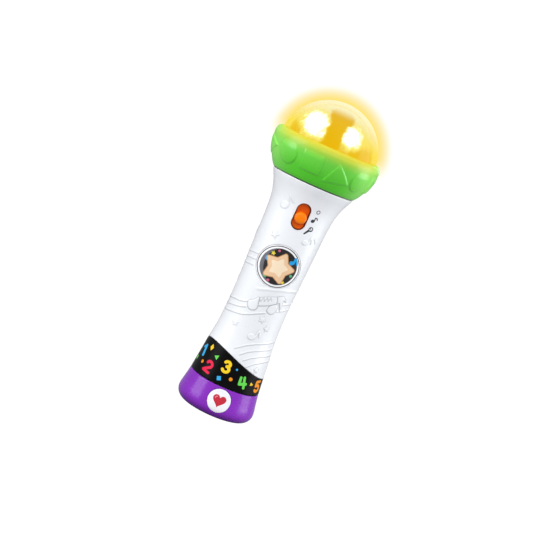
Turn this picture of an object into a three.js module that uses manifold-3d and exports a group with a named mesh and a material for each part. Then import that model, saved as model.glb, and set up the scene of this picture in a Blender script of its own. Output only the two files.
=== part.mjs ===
// Toy microphone: white two-shell handle, green collar, amber light dome, violet base cup,
// three-position slide switch, rear battery compartment, loudspeaker, pickup and light unit.
// Millimetres, +Z along the handle towards the dome, -Y is the front (switch side), left is -X,
// origin at the centre of the base's flat resting face.
import * as THREE from "three";
import { mergeVertices } from "three/addons/utils/BufferGeometryUtils.js";
import Module from "manifold-3d";

const wasm = await Module();
wasm.setup();

// ---------------------------------------------------------------- shared dimensions
const FACETS = 36; // facets round the large turned pieces
const FAR = 40; // beyond the outside of every piece, for cutting boxes and rods
const ABOVE = 200; // above the handle, for cutting boxes

// handle
const WALL = 2.2;
const HALF_PARTING = 0.12; // half of the gap between the two shells
const HANDLE_LOW = 20.1;
const HANDLE_TOP = 156;
// outer surface: [height, radius]
const HANDLE = [
  [19.8, 23.1], [25, 22.5], [30.6, 21.85], [36, 21.3], [41.4, 20.75], [45.9, 20.1],
  [52.8, 19.3], [63, 18.75], [77, 18.6], [89, 18.85], [101.5, 19.35], [113.6, 19.75],
  [125.6, 20.1], [134.7, 20.6], [140.7, 21.3], [145, 22.4], [149.7, 24.1], [153, 25.6],
  [156.2, 26.9],
];
// heights at which the turned surfaces sample the handle's curve
const OUTER_STATIONS = [
  HANDLE_LOW, 31, 42, 50, 60, 77, 95, 113, 128, 137, 143, 147.5, 151.5, 153.6, HANDLE_TOP,
];
const BORE_STATIONS = [31, 50, 77, 113, 137, 147.5, 151.5, 153.6];
const INSIDE_STATIONS = [HANDLE_LOW, 31, 50, 77, 113, 137, 147.5, HANDLE_TOP];
const SPIGOT_R = 20.5; // lower end of the handle, inside the base cup
const SPIGOT_BORE = 18.5;
const SPIGOT_LOW = 8;

// inlays in the handle's surface
const RECESS_DEPTH = 0.5;
const INLAY_DEPTH = 0.34;
const LABEL_Z = 101.9;
const LABEL_R = 13.6;

// switch
const SWITCH_Z = 135.8;
const KNOB_Z = 135; // the knob stands a little low of the slot's middle at rest
const SLOT_HALF_W = 4.6;
const SLOT_HALF_L = 8.7;
const POCKET_R = 18.6; // inside radius of the thickened wall round the slot
const PAD_TOP = 150.7;

// battery door and cells
const DOOR_HALF_W = 12.9;
const DOOR_LOW = 46.4;
const DOOR_HIGH = 115.2;
const DOOR_T = 2;
const DOOR_GAP = 0.3;
const UNDER_DOOR = -DOOR_T - 0.25; // offset from the handle's surface to just under the door
const DOOR_STATIONS = [DOOR_LOW, 50, 60, 77, 95, 113, DOOR_HIGH];
const LEDGE_HALF_W = 14.4;
const CELL_R = 5.2;
const CELL_BODY = 43.7; // length without the button
const CELL_LENGTH = 44.5;
const CELL_X = 5.6;
const CELL_Y = 8.6;
const TAB_X = 8.8; // solder tabs of the lower contacts

// loudspeaker
const SPEAKER_Z = 132;
const SPEAKER_R = 13.5;
const SPEAKER_RIM_Y = 10.8; // rearmost face of the frame

// main board
const BOARD_FRONT_Y = -9.8;
const BOARD_REAR_Y = -8.2;

// screws
const BASE_SCREW_Y = 12; // either side of the axis
const DOOR_SCREWS = [["lower", 51], ["upper", 111]]; // name, z
const BOARD_SCREWS = [["lower", 80], ["upper", 112]]; // name, z
const SHELL_SCREWS = [ // name, x, z
  ["upper_left", -12.2, 119.5], ["upper_right", 12.2, 119.5],
  ["lower_left", -11, 42.2], ["lower_right", 11, 42.2],
];
const LED_BOARD_SCREWS = [60, 180, 300].map((degrees) => {
  const angle = THREE.MathUtils.degToRad(degrees);
  return [20.8 * Math.sin(angle), 20.8 * Math.cos(angle)]; // x, y
});

// head
const MIC_Z = 163.1;
const DOME_Z = 178; // centre of the dome's sphere
const DOME_R = 31.2;
const DOME_WALL = 1.7;
const DOME_LOW = 170.3; // rims of the dome and diffuser, just above the collar's ledge
const COLLAR_BORE = 31.55;
const COLLAR_LEDGE = 170;
const LED_Z = 190;

// ---------------------------------------------------------------- solids
function solid(source) {
  const bare = source.index ? source.toNonIndexed() : source.clone();
  for (const name of Object.keys(bare.attributes))
    if (name !== "position") bare.deleteAttribute(name);
  const welded = mergeVertices(bare, 1e-4);
  const index = welded.index.array;
  const triangles = [];
  for (let i = 0; i < index.length; i += 3) {
    const [a, b, c] = [index[i], index[i + 1], index[i + 2]];
    if (a !== b && b !== c && a !== c) triangles.push([a, b, c]);
  }
  const build = (faces) =>
    new wasm.Manifold(
      new wasm.Mesh({
        numProp: 3,
        vertProperties: new Float32Array(welded.attributes.position.array),
        triVerts: new Uint32Array(faces.flat()),
      }),
    );
  const made = build(triangles);
  // turn an inside-out surface the right way round
  return made.volume() < 0 ? build(triangles.map(([a, b, c]) => [a, c, b])) : made;
}
const addAll = (body, parts) => parts.reduce((sum, part) => sum.add(part), body);
const cutAll = (body, parts) => parts.reduce((rest, part) => rest.subtract(part), body);

const box = (x0, x1, y0, y1, z0, z1) =>
  solid(
    new THREE.BoxGeometry(x1 - x0, y1 - y0, z1 - z0)
      .translate((x0 + x1) / 2, (y0 + y1) / 2, (z0 + z1) / 2),
  );

// Turned solids. A profile is a list of [radius, distance along the axis]; n is the facet count.
const vectors = (points) => points.map(([x, y]) => new THREE.Vector2(x, y));
function lathe(profile, n) {
  const first = profile[0];
  const onAxis = first[0] === 0 && profile.at(-1)[0] === 0;
  return new THREE.LatheGeometry(vectors(onAxis ? profile : [...profile, first]), n);
}
const turnedX = (profile, y, z, n) =>
  solid(lathe(profile, n).rotateZ(-Math.PI / 2).translate(0, y, z));
const turnedY = (profile, x, z, n) => solid(lathe(profile, n).translate(x, 0, z));
const turnedZ = (profile, x, y, n) => solid(lathe(profile, n).rotateX(Math.PI / 2).translate(x, y, 0));
const turned = (profile, n = FACETS) => turnedZ(profile, 0, 0, n);
// rectangular profile of a ring, or of a rod when r0 is 0
const band = (r0, r1, low, high) => [[r0, low], [r1, low], [r1, high], [r0, high]];
const rodX = (r, y, z, x0, x1, n) => turnedX(band(0, r, x0, x1), y, z, n);
const rodY = (r, x, z, y0, y1, n = 12) => turnedY(band(0, r, y0, y1), x, z, n);
const rodZ = (r, x, y, z0, z1, n = 16) => turnedZ(band(0, r, z0, z1), x, y, n);
// layer between two offsets from a turned surface
const layer = (surface, inner, outer) =>
  turned([
    ...surface.map(([r, z]) => [r + outer, z]),
    ...[...surface].reverse().map(([r, z]) => [r + inner, z]),
  ]);

function polygon(points) {
  const shape = new THREE.Shape(vectors(points));
  shape.closePath();
  return shape;
}
const regularPoints = (sides, r) =>
  Array.from({ length: sides }, (_, i) => {
    const angle = (2 * Math.PI * i) / sides;
    return [r * Math.cos(angle), r * Math.sin(angle)];
  });
// geometry of an X-Z outline extruded along Y
const prismY = (shape, x, z, y0, y1, curveSegments) =>
  new THREE.ExtrudeGeometry(shape, { depth: y1 - y0, bevelEnabled: false, curveSegments })
    .rotateX(Math.PI / 2)
    .translate(x, y1, z);
// round-ended slot through Y, long in Z
function slotAlongZ(halfW, halfL, z, y0, y1) {
  const shape = new THREE.Shape();
  const offset = halfL - halfW;
  shape.absarc(0, offset, halfW, 0, Math.PI, false);
  shape.absarc(0, -offset, halfW, Math.PI, 2 * Math.PI, false);
  shape.closePath();
  return solid(prismY(shape, 0, z, y0, y1, 8));
}
// round-ended slot through Y, long in X
function slotAlongX(z, halfL, halfH, y0, y1) {
  const shape = new THREE.Shape();
  const offset = halfL - halfH;
  shape.absarc(offset, 0, halfH, -Math.PI / 2, Math.PI / 2, false);
  shape.absarc(-offset, 0, halfH, Math.PI / 2, (3 * Math.PI) / 2, false);
  shape.closePath();
  return solid(prismY(shape, 0, z, y0, y1, 4));
}

const sweep = (extrudePath, r, sides, steps) =>
  solid(
    new THREE.ExtrudeGeometry(polygon(regularPoints(sides, r)), {
      steps,
      bevelEnabled: false,
      extrudePath,
    }),
  );
function wire(points, r, steps = 9) {
  const knots = points.map((point) => new THREE.Vector3(...point));
  return sweep(new THREE.CatmullRomCurve3(knots, false, "centripetal"), r, 5, steps);
}
class Helix extends THREE.Curve {
  constructor(size) {
    super();
    Object.assign(this, size);
  }
  getPoint(t, target = new THREE.Vector3()) {
    const angle = 2 * Math.PI * this.turns * t;
    const r = this.r0 + (this.r1 - this.r0) * t;
    return target.set(
      this.x + r * Math.cos(angle),
      this.y + r * Math.sin(angle),
      this.z0 + (this.z1 - this.z0) * t,
    );
  }
}
// tapering contact spring on a cell's axis, widest at z0
function contactSpring(x, z0, z1) {
  const turns = 3;
  const path = new Helix({ x, y: CELL_Y, z0, z1, r0: 3.4, r1: 2.2, turns });
  return sweep(path, 0.32, 4, turns * 10);
}

// ---------------------------------------------------------------- handle surface
// Hermite curve through HANDLE, with slopes taken across neighbouring points
function handleR(z) {
  const last = HANDLE.length - 1;
  const slope = (i) => {
    const [below, above] = [HANDLE[Math.max(i - 1, 0)], HANDLE[Math.min(i + 1, last)]];
    return (above[1] - below[1]) / (above[0] - below[0]);
  };
  let i = 0;
  while (i < last - 1 && z > HANDLE[i + 1][0]) i++;
  const [z0, r0] = HANDLE[i];
  const [z1, r1] = HANDLE[i + 1];
  const span = z1 - z0;
  const t = (z - z0) / span;
  const [t2, t3] = [t * t, t * t * t];
  return (
    (2 * t3 - 3 * t2 + 1) * r0 + (t3 - 2 * t2 + t) * span * slope(i) +
    (-2 * t3 + 3 * t2) * r1 + (t3 - t2) * span * slope(i + 1)
  );
}
const handleLine = (stations, offset = 0) => stations.map((z) => [handleR(z) + offset, z]);
const sleeve = (inner, outer, stations = OUTER_STATIONS) =>
  layer(handleLine(stations), inner, outer);
const handleCore = (offset, stations) =>
  turned([[0, stations[0]], ...handleLine(stations, offset), [0, stations.at(-1)]]);

// ---------------------------------------------------------------- materials and meshes
const material = (color, roughness, metalness = 0, extra = {}) =>
  new THREE.MeshStandardMaterial({ color, roughness, metalness, ...extra });
// colour, roughness, metalness
const MATERIALS = {
  white: material(0xf3f5f8, 0.32),
  green: material(0x63cf42, 0.34),
  amber: material(0xffc81e, 0.12, 0, { transparent: true, opacity: 0.55 }),
  diffuser: material(0xffe28a, 0.5),
  violet: material(0x8a35c4, 0.3),
  orange: material(0xf06a10, 0.35),
  badge: material(0xffffff, 0.35),
  ink: material(0x15151a, 0.4),
  label: material(0x22242a, 0.4),
  board: material(0x2b6e3a, 0.55),
  steel: material(0xb8babd, 0.3, 0.9),
  nickel: material(0xd0cfca, 0.25, 0.95),
  black: material(0x17181a, 0.5),
  rubber: material(0x1d1d1f, 0.85),
  card: material(0x2a2a2c, 0.9),
  led: material(0xfff2c4, 0.15),
  cell: material(0x30343c, 0.35, 0.4),
  red: material(0xb81c1c, 0.5),
  cloth: material(0x202224, 0.95),
};
const group = new THREE.Group();
function add(name, body, materialName) {
  const { vertProperties, triVerts } = body.simplify(0.05).getMesh();
  const geometry = new THREE.BufferGeometry()
    .setAttribute("position", new THREE.BufferAttribute(new Float32Array(vertProperties), 3))
    .setIndex(new THREE.BufferAttribute(new Uint32Array(triVerts), 1));
  geometry.computeVertexNormals();
  const mesh = new THREE.Mesh(geometry, MATERIALS[materialName]);
  mesh.name = name;
  group.add(mesh);
}

// ---------------------------------------------------------------- base cup and badge
const CUP_TOP = 19.8;
const CUP_BORE = 20.9; // takes the handle's spigot
const CUP_FLOOR = 2.4;
const CUP_SIDE = [ // [radius, height]
  [23.1, 1.1], [25.0, 3.8], [25.45, 6.2], [25.1, 9.2], [24.15, 13.9], [23.1, CUP_TOP],
];
const BADGE_R = 7.3;
const badgeDisc = (r) => rodY(r, 0, 11.5, -FAR, -15, 28);
const baseScrewYs = [-BASE_SCREW_Y, BASE_SCREW_Y];

function baseCup() {
  const cup = turned([
    [0, 0], [20.6, 0], ...CUP_SIDE, [CUP_BORE, CUP_TOP], [CUP_BORE, CUP_FLOOR], [0, CUP_FLOOR],
  ]);
  const bossed = addAll(cup, baseScrewYs.map((y) => rodZ(4.6, 0, y, CUP_FLOOR - 0.4, 6)));
  return cutAll(bossed, [
    ...baseScrewYs.flatMap((y) => [rodZ(3, 0, y, -1, 3.8), rodZ(1.35, 0, y, 3, 7, 12)]),
    layer(CUP_SIDE, -RECESS_DEPTH, 3).intersect(badgeDisc(BADGE_R + 0.25)),
  ]);
}
add("base_cup", baseCup(), "violet");
add("base_badge", layer(CUP_SIDE, -0.32, 0.12).intersect(badgeDisc(BADGE_R)), "badge");

const BASE_SCREW = [[0, 1.5], [2.5, 1.5], [2.5, 3.5], [0.95, 3.65], [0.95, 12.6], [0, 13.6]];
for (const [place, y] of [["front", -BASE_SCREW_Y], ["rear", BASE_SCREW_Y]]) {
  const screw = cutAll(turnedZ(BASE_SCREW, 0, y, 10), [
    box(-1.6, 1.6, y - 0.3, y + 0.3, 1, 2.4),
    box(-0.3, 0.3, y - 1.6, y + 1.6, 1, 2.4),
  ]);
  add(`base_screw_${place}`, screw, "steel");
}

// ---------------------------------------------------------------- number band
// crests and troughs of the wavy top edge: [degrees from the front towards +X, height]
const WAVE = [[-155, 36.5], [-60, 43.3], [80, 31], [205, 36.5]];
function waveTop(degrees) {
  const angle = degrees > 205 ? degrees - 360 : degrees;
  let i = 0;
  while (i < WAVE.length - 2 && angle > WAVE[i + 1][0]) i++;
  const [[a0, z0], [a1, z1]] = [WAVE[i], WAVE[i + 1]];
  return z0 + (z1 - z0) * (0.5 - 0.5 * Math.cos((Math.PI * (angle - a0)) / (a1 - a0)));
}
// thick ring with the wavy top, for trimming the band and its recess
function waveRing(lift) {
  const [inner, outer, low] = [12, 32, 18];
  const positions = [];
  const index = [];
  for (let i = 0; i < FACETS; i++) {
    const degrees = (360 * i) / FACETS;
    const angle = THREE.MathUtils.degToRad(degrees);
    for (const [r, z] of band(inner, outer, low, waveTop(degrees) + lift))
      positions.push(r * Math.sin(angle), -r * Math.cos(angle), z);
    const here = i * 4;
    const next = ((i + 1) % FACETS) * 4;
    for (let k = 0; k < 4; k++) {
      const l = (k + 1) % 4;
      index.push(here + k, next + k, next + l, here + k, next + l, here + l);
    }
  }
  return solid(
    new THREE.BufferGeometry()
      .setAttribute("position", new THREE.BufferAttribute(new Float32Array(positions), 3))
      .setIndex(index),
  );
}
const bandRecess = sleeve(-RECESS_DEPTH, 4).intersect(waveRing(0.25));
add(
  "number_band",
  sleeve(-INLAY_DEPTH, 0)
    .intersect(waveRing(0))
    .intersect(box(-FAR, FAR, -FAR, FAR, HANDLE_LOW + 0.1, 60)),
  "ink",
);

// ---------------------------------------------------------------- handle shells
const shellTube = turned([
  [SPIGOT_R, SPIGOT_LOW], [SPIGOT_R, HANDLE_LOW],
  ...handleLine(OUTER_STATIONS),
  [21.4, HANDLE_TOP], [21.4, 153.6],
  ...handleLine([...BORE_STATIONS].reverse(), -WALL),
  [SPIGOT_BORE, 22], [SPIGOT_BORE, SPIGOT_LOW],
]);
const frontHalf = box(-FAR, FAR, -FAR, -HALF_PARTING, 0, 170);
const rearHalf = box(-FAR, FAR, HALF_PARTING, FAR, 0, 170);
// keeps ribs and bosses under the outer surface
const inside = handleCore(-1, INSIDE_STATIONS);
const trimmed = (parts) => parts.map((part) => part.intersect(inside));
const labelDisc = (r) => rodY(r, 0, LABEL_Z, -FAR, -8, 32);

// boss for a base screw, with a rib joining it to the wall
const baseBoss = (y, ribY0, ribY1, half) =>
  rodZ(3.4, 0, y, 6.5, 17).add(box(-1.2, 1.2, ribY0, ribY1, 8.2, 17)).intersect(half);
const BASE_RIB_Y = 19.5;
const basePilot = (y) => rodZ(1.15, 0, y, 5, 15.5, 10);

function frontShell() {
  // thickened pad round the switch, two slider guide rails, and the pocket between them
  const pad = turned(band(POCKET_R, 30, 118, PAD_TOP)).intersect(
    box(-9.5, 9.5, -FAR, -10, 100, 160),
  );
  const rails = [-7.6, 7.6].map((x) => box(x - 0.8, x + 0.8, -19, -15.4, 120, PAD_TOP));
  const pocket = turned(band(0, POCKET_R, SWITCH_Z - 18, SWITCH_Z + 18)).intersect(
    box(-6.4, 6.4, -FAR, -10, 100, 160),
  );
  const padded = addAll(shellTube.intersect(frontHalf), trimmed([pad, ...rails]));

  const bossed = addAll(padded.subtract(pocket), [
    ...trimmed([
      ...BOARD_SCREWS.map(([, z]) => rodY(2.5, 0, z, -22, BOARD_FRONT_Y - 0.2)),
      ...SHELL_SCREWS.map(([, x, z]) => rodY(3.2, x, z, -22, -HALF_PARTING - 0.1)),
    ]),
    baseBoss(-BASE_SCREW_Y, -BASE_RIB_Y, -BASE_SCREW_Y, frontHalf),
  ]);
  return cutAll(bossed, [
    ...BOARD_SCREWS.map(([, z]) => rodY(0.95, 0, z, -16.5, -8, 10)),
    ...SHELL_SCREWS.map(([, x, z]) => rodY(1.35, x, z, -11.5, 1)),
    basePilot(-BASE_SCREW_Y),
    slotAlongZ(SLOT_HALF_W, SLOT_HALF_L, SWITCH_Z, -30, -12),
    bandRecess,
    sleeve(-RECESS_DEPTH, 4).intersect(labelDisc(LABEL_R + 0.3)),
  ]);
}
add("front_shell", frontShell(), "white");
add("front_label", sleeve(-INLAY_DEPTH, 0).intersect(labelDisc(LABEL_R)), "label");

const GRILLE_SLOTS = [[-8.4, 5.2], [-4.2, 8.4], [0, 9.4], [4.2, 8.4], [8.4, 5.2]]; // dz, half length

function rearShell() {
  const openingStations = [DOOR_LOW - DOOR_GAP, ...DOOR_STATIONS, DOOR_HIGH + DOOR_GAP];
  const openingHalfW = DOOR_HALF_W + DOOR_GAP;
  const opening = sleeve(UNDER_DOOR, 5, openingStations).intersect(
    box(-openingHalfW, openingHalfW, 2, FAR, 0, ABOVE),
  );
  const underDoor = handleCore(UNDER_DOOR, OUTER_STATIONS.slice(0, 10));
  const ledge = (stations) =>
    sleeve(-4.2, UNDER_DOOR, stations).intersect(
      box(-LEDGE_HALF_W, LEDGE_HALF_W, 2, FAR, 0, ABOVE),
    );
  // ring and lip that seat the loudspeaker
  const speakerSeat = turnedY(band(SPEAKER_R + 0.25, SPEAKER_R + 1.35, 8.4, 24), 0, SPEAKER_Z, 24).add(
    turnedY(
      band(11.6, SPEAKER_R + 0.6, SPEAKER_RIM_Y + 0.55, SPEAKER_RIM_Y + 1.5),
      0, SPEAKER_Z, 24,
    ),
  );
  const bossed = addAll(shellTube.intersect(rearHalf).subtract(opening), [
    box(-LEDGE_HALF_W, LEDGE_HALF_W, 1.4, 12, 53.8, 108).intersect(underDoor), // battery tray
    ledge([43, 50, 54.2]),
    ledge([106.4, 113, 118]),
    ...DOOR_SCREWS.map(([, z]) => rodY(4, 0, z, 2.2, 15).intersect(underDoor)),
    ...trimmed(SHELL_SCREWS.map(([, x, z]) => rodY(3.6, x, z, HALF_PARTING + 0.1, 24))),
    baseBoss(BASE_SCREW_Y, BASE_SCREW_Y, BASE_RIB_Y, rearHalf),
    speakerSeat.intersect(inside),
  ]);
  return cutAll(bossed, [
    box(-12, 12, 2.6, FAR, 55, 105.6), // battery bay
    ...DOOR_SCREWS.flatMap(([, z]) => [
      rodY(4.45, 0, z, 13.9, FAR),
      rodY(1.35, 0, z, 3.4, 16),
      rodY(2.7, 0, z, 12.6, 16, 14),
    ]),
    ...SHELL_SCREWS.flatMap(([, x, z]) => [
      rodY(1.55, x, z, -1, 8),
      rodY(2.9, x, z, 3.2, FAR, 14),
    ]),
    basePilot(BASE_SCREW_Y),
    ...[-TAB_X, TAB_X].map((x) => box(x - 0.9, x + 0.9, 1, 3, 56, 58.4)), // solder tab slots
    ...GRILLE_SLOTS.map(([dz, halfL]) =>
      slotAlongX(SPEAKER_Z + dz, halfL, 1, SPEAKER_RIM_Y + 1.2, FAR),
    ),
    bandRecess,
  ]);
}
add("rear_shell", rearShell(), "white");

// ---------------------------------------------------------------- battery door
function batteryDoor() {
  const skin = sleeve(-DOOR_T, 0, DOOR_STATIONS).intersect(
    box(-DOOR_HALF_W, DOOR_HALF_W, 2, FAR, 0, ABOVE),
  );
  const bossed = addAll(skin, DOOR_SCREWS.map(([, z]) => rodY(4.1, 0, z, 14.3, handleR(z) - 0.6)));
  return cutAll(bossed, [
    ...DOOR_SCREWS.flatMap(([, z]) => [rodY(1.5, 0, z, 10, 30), rodY(2.85, 0, z, 16.2, 30, 16)]),
    slotAlongX(DOOR_HIGH, 4.5, 0.8, handleR(DOOR_HIGH) - 0.8, FAR), // finger notch
  ]);
}
add("battery_door", batteryDoor(), "white");

// ---------------------------------------------------------------- door and shell screws
// cross recess in a screw head facing +Y
const crossCut = (screw, x, z, halfL, halfW, y0, y1) =>
  cutAll(screw, [
    box(x - halfL, x + halfL, y0, y1, z - halfW, z + halfW),
    box(x - halfW, x + halfW, y0, y1, z - halfL, z + halfL),
  ]);
const DOOR_SCREW = [
  [0, 8.2], [1.05, 9.1], [1.05, 16.35], [2.5, 16.5], [2.5, 17.7], [1.6, 18.2], [0, 18.3],
];
const SHELL_SCREW = [
  [0, -9.6], [1.05, -8.4], [1.05, 3.35], [2.45, 3.5], [2.45, 4.7], [1.4, 5.2], [0, 5.3],
];
for (const [place, z] of DOOR_SCREWS) {
  const screw = crossCut(turnedY(DOOR_SCREW, 0, z, 12), 0, z, 1.7, 0.32, 17.1, 20);
  add(`door_screw_${place}`, screw, "steel");
  add(`door_clip_${place}`, turnedY(band(1.25, 2.2, 13.2, 13.9), 0, z, 14), "nickel");
}
for (const [place, x, z] of SHELL_SCREWS) {
  const screw = crossCut(turnedY(SHELL_SCREW, x, z, 10), x, z, 1.6, 0.3, 4.3, 6);
  add(`shell_screw_${place}`, screw, "steel");
}

// ---------------------------------------------------------------- switch
const KNOB = [
  [0, -23.3], [2.2, -23.15], [3.2, -22.6], [3.65, -21.7], [3.9, -20.2], [3.9, -17.4], [0, -17.4],
];
// box centred on x = 0 and on the switch's height
const switchBox = (halfX, y0, y1, halfZ) =>
  box(-halfX, halfX, y0, y1, SWITCH_Z - halfZ, SWITCH_Z + halfZ);
function switchSlider() {
  const plate = turned(band(17.1, 18.25, SWITCH_Z - 13.4, SWITCH_Z + 13.4)).intersect(
    box(-5.9, 5.9, -FAR, -10, 0, ABOVE),
  );
  return plate
    .add(turnedY(KNOB, 0, KNOB_Z, 24))
    .add(switchBox(3, -17.6, -14.2, 3.2))
    .subtract(switchBox(1.35, -16.4, -13, 1.3)); // socket for the actuator
}
add("switch_slider", switchSlider(), "orange");
add(
  "slide_switch_case",
  switchBox(3.6, -13.6, -9.9, 6.6).subtract(switchBox(1.3, -14, -12.3, 5.5)),
  "steel",
);
add("slide_switch_actuator", switchBox(1, -16.1, -12.6, 1), "black");

// ---------------------------------------------------------------- main board
const BOARD_SCREW = [[0, -14.4], [0.75, -13.6], [0.75, -8.1], [2, -8.1], [2, -7.2], [0, -6.8]];
const CHIP_BLOB = [[0, -11.4], [2.6, -11.1], [4.3, -10.5], [5, -9.9], [0, -9.9]];
const CAPACITOR = [[0, -8.1], [2.5, -8.1], [2.5, -2.4], [2.2, -2.1], [0, -2.1]];
add(
  "main_board",
  cutAll(
    box(-8.5, 8.5, BOARD_FRONT_Y, BOARD_REAR_Y, 76, 147),
    BOARD_SCREWS.map(([, z]) => rodY(1.25, 0, z, -12, -6)),
  ),
  "board",
);
for (const [place, z] of BOARD_SCREWS)
  add(`main_board_screw_${place}`, turnedY(BOARD_SCREW, 0, z, 10), "steel");
add("chip_blob", turnedY(CHIP_BLOB, 0, 97, 18), "black");
add("capacitor", turnedY(CAPACITOR, -4.6, 121, 14), "cell");

// ---------------------------------------------------------------- loudspeaker
const SPEAKER_FRAME = [
  [11.6, SPEAKER_RIM_Y], [SPEAKER_R, SPEAKER_RIM_Y], [SPEAKER_R, 9.9], [12.1, 9.7], [8.6, 6.0],
  [5.3, 6.0], [5.3, 6.6], [8.1, 6.6], [11.6, 9.85],
];
const SPEAKER_MAGNET = [
  [0, 2.8], [7.6, 2.8], [7.6, 5.8], [5.1, 5.8], [5.1, 3.6], [3.7, 3.6], [3.7, 6.2], [0, 6.2],
];
const SPEAKER_CONE = [
  [4.15, 4.6], [4.65, 4.6], [4.65, 7.4], [10.2, 9.7], [11.2, 9.95], [11.2, 10.35],
  [10.1, 10.15], [4.5, 8], [3, 8.8], [0, 9.2], [0, 8.8], [2.8, 8.4], [4.15, 7.5],
];
for (const [name, profile, materialName] of [
  ["speaker_frame", SPEAKER_FRAME, "steel"],
  ["speaker_magnet", SPEAKER_MAGNET, "nickel"],
  ["speaker_cone", SPEAKER_CONE, "card"],
  ["grille_cloth", band(0, 13.4, 11, 11.2), "cloth"],
])
  add(name, turnedY(profile, 0, SPEAKER_Z, 24), materialName);

// ---------------------------------------------------------------- batteries and contacts
// cell from its flat end at flatZ; direction +1 has the button end up, -1 down
function cell(x, flatZ, direction) {
  const profile = [
    [0, 0], [3.6, 0], [3.6, 0.25], [CELL_R, 0.25],
    [CELL_R, CELL_BODY], [1.8, CELL_BODY], [1.8, CELL_LENGTH], [0, CELL_LENGTH],
  ];
  return turnedZ(profile.map(([r, along]) => [r, flatZ + direction * along]), x, CELL_Y, 20);
}
add("battery_left", cell(-CELL_X, 58.9, 1), "cell");
add("battery_right", cell(CELL_X, 102, -1), "cell");

const contactPlate = (x0, x1, z0) => box(x0, x1, 4.4, 12.4, z0, z0 + 0.4);
const solderTab = (x) =>
  box(x - 0.6, x + 0.6, 0.6, 4.8, 56.4, 56.8).add(box(x - 0.6, x + 0.6, 4.4, 4.8, 55.2, 56.8));
const contactDimple = (profile, x) => turnedZ(profile, x, CELL_Y, 12);
const LOWER_DIMPLE = [[0, 55.3], [2.2, 55.3], [1.5, 57.2], [0, 57.2]];
const UPPER_DIMPLE = [[0, 103.65], [1.5, 103.65], [2.2, 105.2], [0, 105.2]];
add(
  "contact_spring_lower",
  addAll(contactPlate(-9.8, -1.6, 55.2), [
    solderTab(-TAB_X),
    contactSpring(-CELL_X, 55.75, 58.45),
  ]),
  "nickel",
);
add(
  "contact_plate_lower",
  addAll(contactPlate(1.6, 9.8, 55.2), [solderTab(TAB_X), contactDimple(LOWER_DIMPLE, CELL_X)]),
  "nickel",
);
add(
  "contact_bridge_upper",
  addAll(contactPlate(-9.8, 9.8, 104.95), [
    contactDimple(UPPER_DIMPLE, -CELL_X),
    contactSpring(CELL_X, 104.8, 102.45),
  ]),
  "nickel",
);

// ---------------------------------------------------------------- collar and pickup
const COLLAR = [ // [radius, height]
  [19.2, 151], [22.0, 151], [22.0, 153.1], [21, 153.3], [21, 156.3],
  [27.0, 156.3], [28.6, 158.4], [30.3, 161.2], [32.3, 165.3], [33.9, 170.5], [34.9, 177.5],
  [34.5, 179.7], [33.6, 181], [32.5, 181.55], [COLLAR_BORE, 180.9],
  [COLLAR_BORE, COLLAR_LEDGE], [28, COLLAR_LEDGE], [28, 165], [26.4, 158.9], [19.2, 158.9],
];
const RAISED_SURFACE = [[30.3, 160.6], [33, 167], [34.7, 172.6], [35.45, 177.6]];
const RAISED_Z = 169.4;
const RAISED_SHAPES = [ // outline, degrees of the first of four from the front
  [regularPoints(12, 7.2), -45],
  [[[-6.2, -6.2], [6.2, -6.2], [6.2, 6.2], [-6.2, 6.2]], -15],
  [[[-6.6, -6.9], [6.9, -5.3], [-0.6, 5.9]], 15],
];
function collarRing() {
  let collar = turned(COLLAR);
  for (const [x, y] of LED_BOARD_SCREWS)
    collar = collar.add(rodZ(2.4, x, y, 158.5, 166.8, 12)).subtract(rodZ(0.9, x, y, 160.5, 168, 10));
  // cradle and port for the pickup
  const port = rodY(0.8, 0, MIC_Z, 26, FAR);
  collar = collar
    .add(box(-4.6, 4.6, 22, 26, 158.5, 161.2))
    .subtract(rodY(3.95, 0, MIC_Z, 19, 27.2, 18))
    .subtract(port);
  const raisedLayer = layer(RAISED_SURFACE, -1.6, 0);
  for (const [outline, first] of RAISED_SHAPES)
    for (let k = 0; k < 4; k++) {
      const prism = prismY(polygon(outline), 0, RAISED_Z, -41, -25)
        .rotateZ(THREE.MathUtils.degToRad(first + 90 * k));
      collar = collar.add(raisedLayer.intersect(solid(prism)));
    }
  return collar.subtract(port); // keeps the port clear of the raised shapes
}
add("collar_ring", collarRing(), "green");
const MIC_BOOT = [
  [3.15, 21.4], [3.65, 21.4], [3.65, 26.6], [2.2, 26.6], [2.2, 25.9], [3.15, 25.9],
];
add("mic_boot", turnedY(MIC_BOOT, 0, MIC_Z, 18), "rubber");
add("mic_capsule", rodY(2.95, 0, MIC_Z, 22.6, 25.7, 18), "nickel");

// ---------------------------------------------------------------- dome and diffuser
// arc about the dome's centre, in degrees above the horizontal
const arc = (r, from, to, steps) =>
  Array.from({ length: steps + 1 }, (_, i) => {
    const angle = THREE.MathUtils.degToRad(from + ((to - from) * i) / steps);
    const cosine = Math.cos(angle);
    // exactly on the axis at the pole
    return [Math.abs(cosine) < 1e-9 ? 0 : r * cosine, DOME_Z + r * Math.sin(angle)];
  });
const DOME_INNER_R = DOME_R - DOME_WALL;
add(
  "dome_lens",
  turned([
    ...arc(DOME_INNER_R, 90, 0, 6), [DOME_INNER_R, DOME_LOW],
    [DOME_R, DOME_LOW], ...arc(DOME_R, 0, 90, 8),
  ]),
  "amber",
);
add(
  "light_diffuser",
  turned([
    ...arc(26.2, 90, 0, 4), [26.2, DOME_LOW], [29.1, DOME_LOW], [29.1, 171.4], [27.8, 171.6],
    ...arc(27.8, 0, 90, 5),
  ], 28),
  "diffuser",
);

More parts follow.
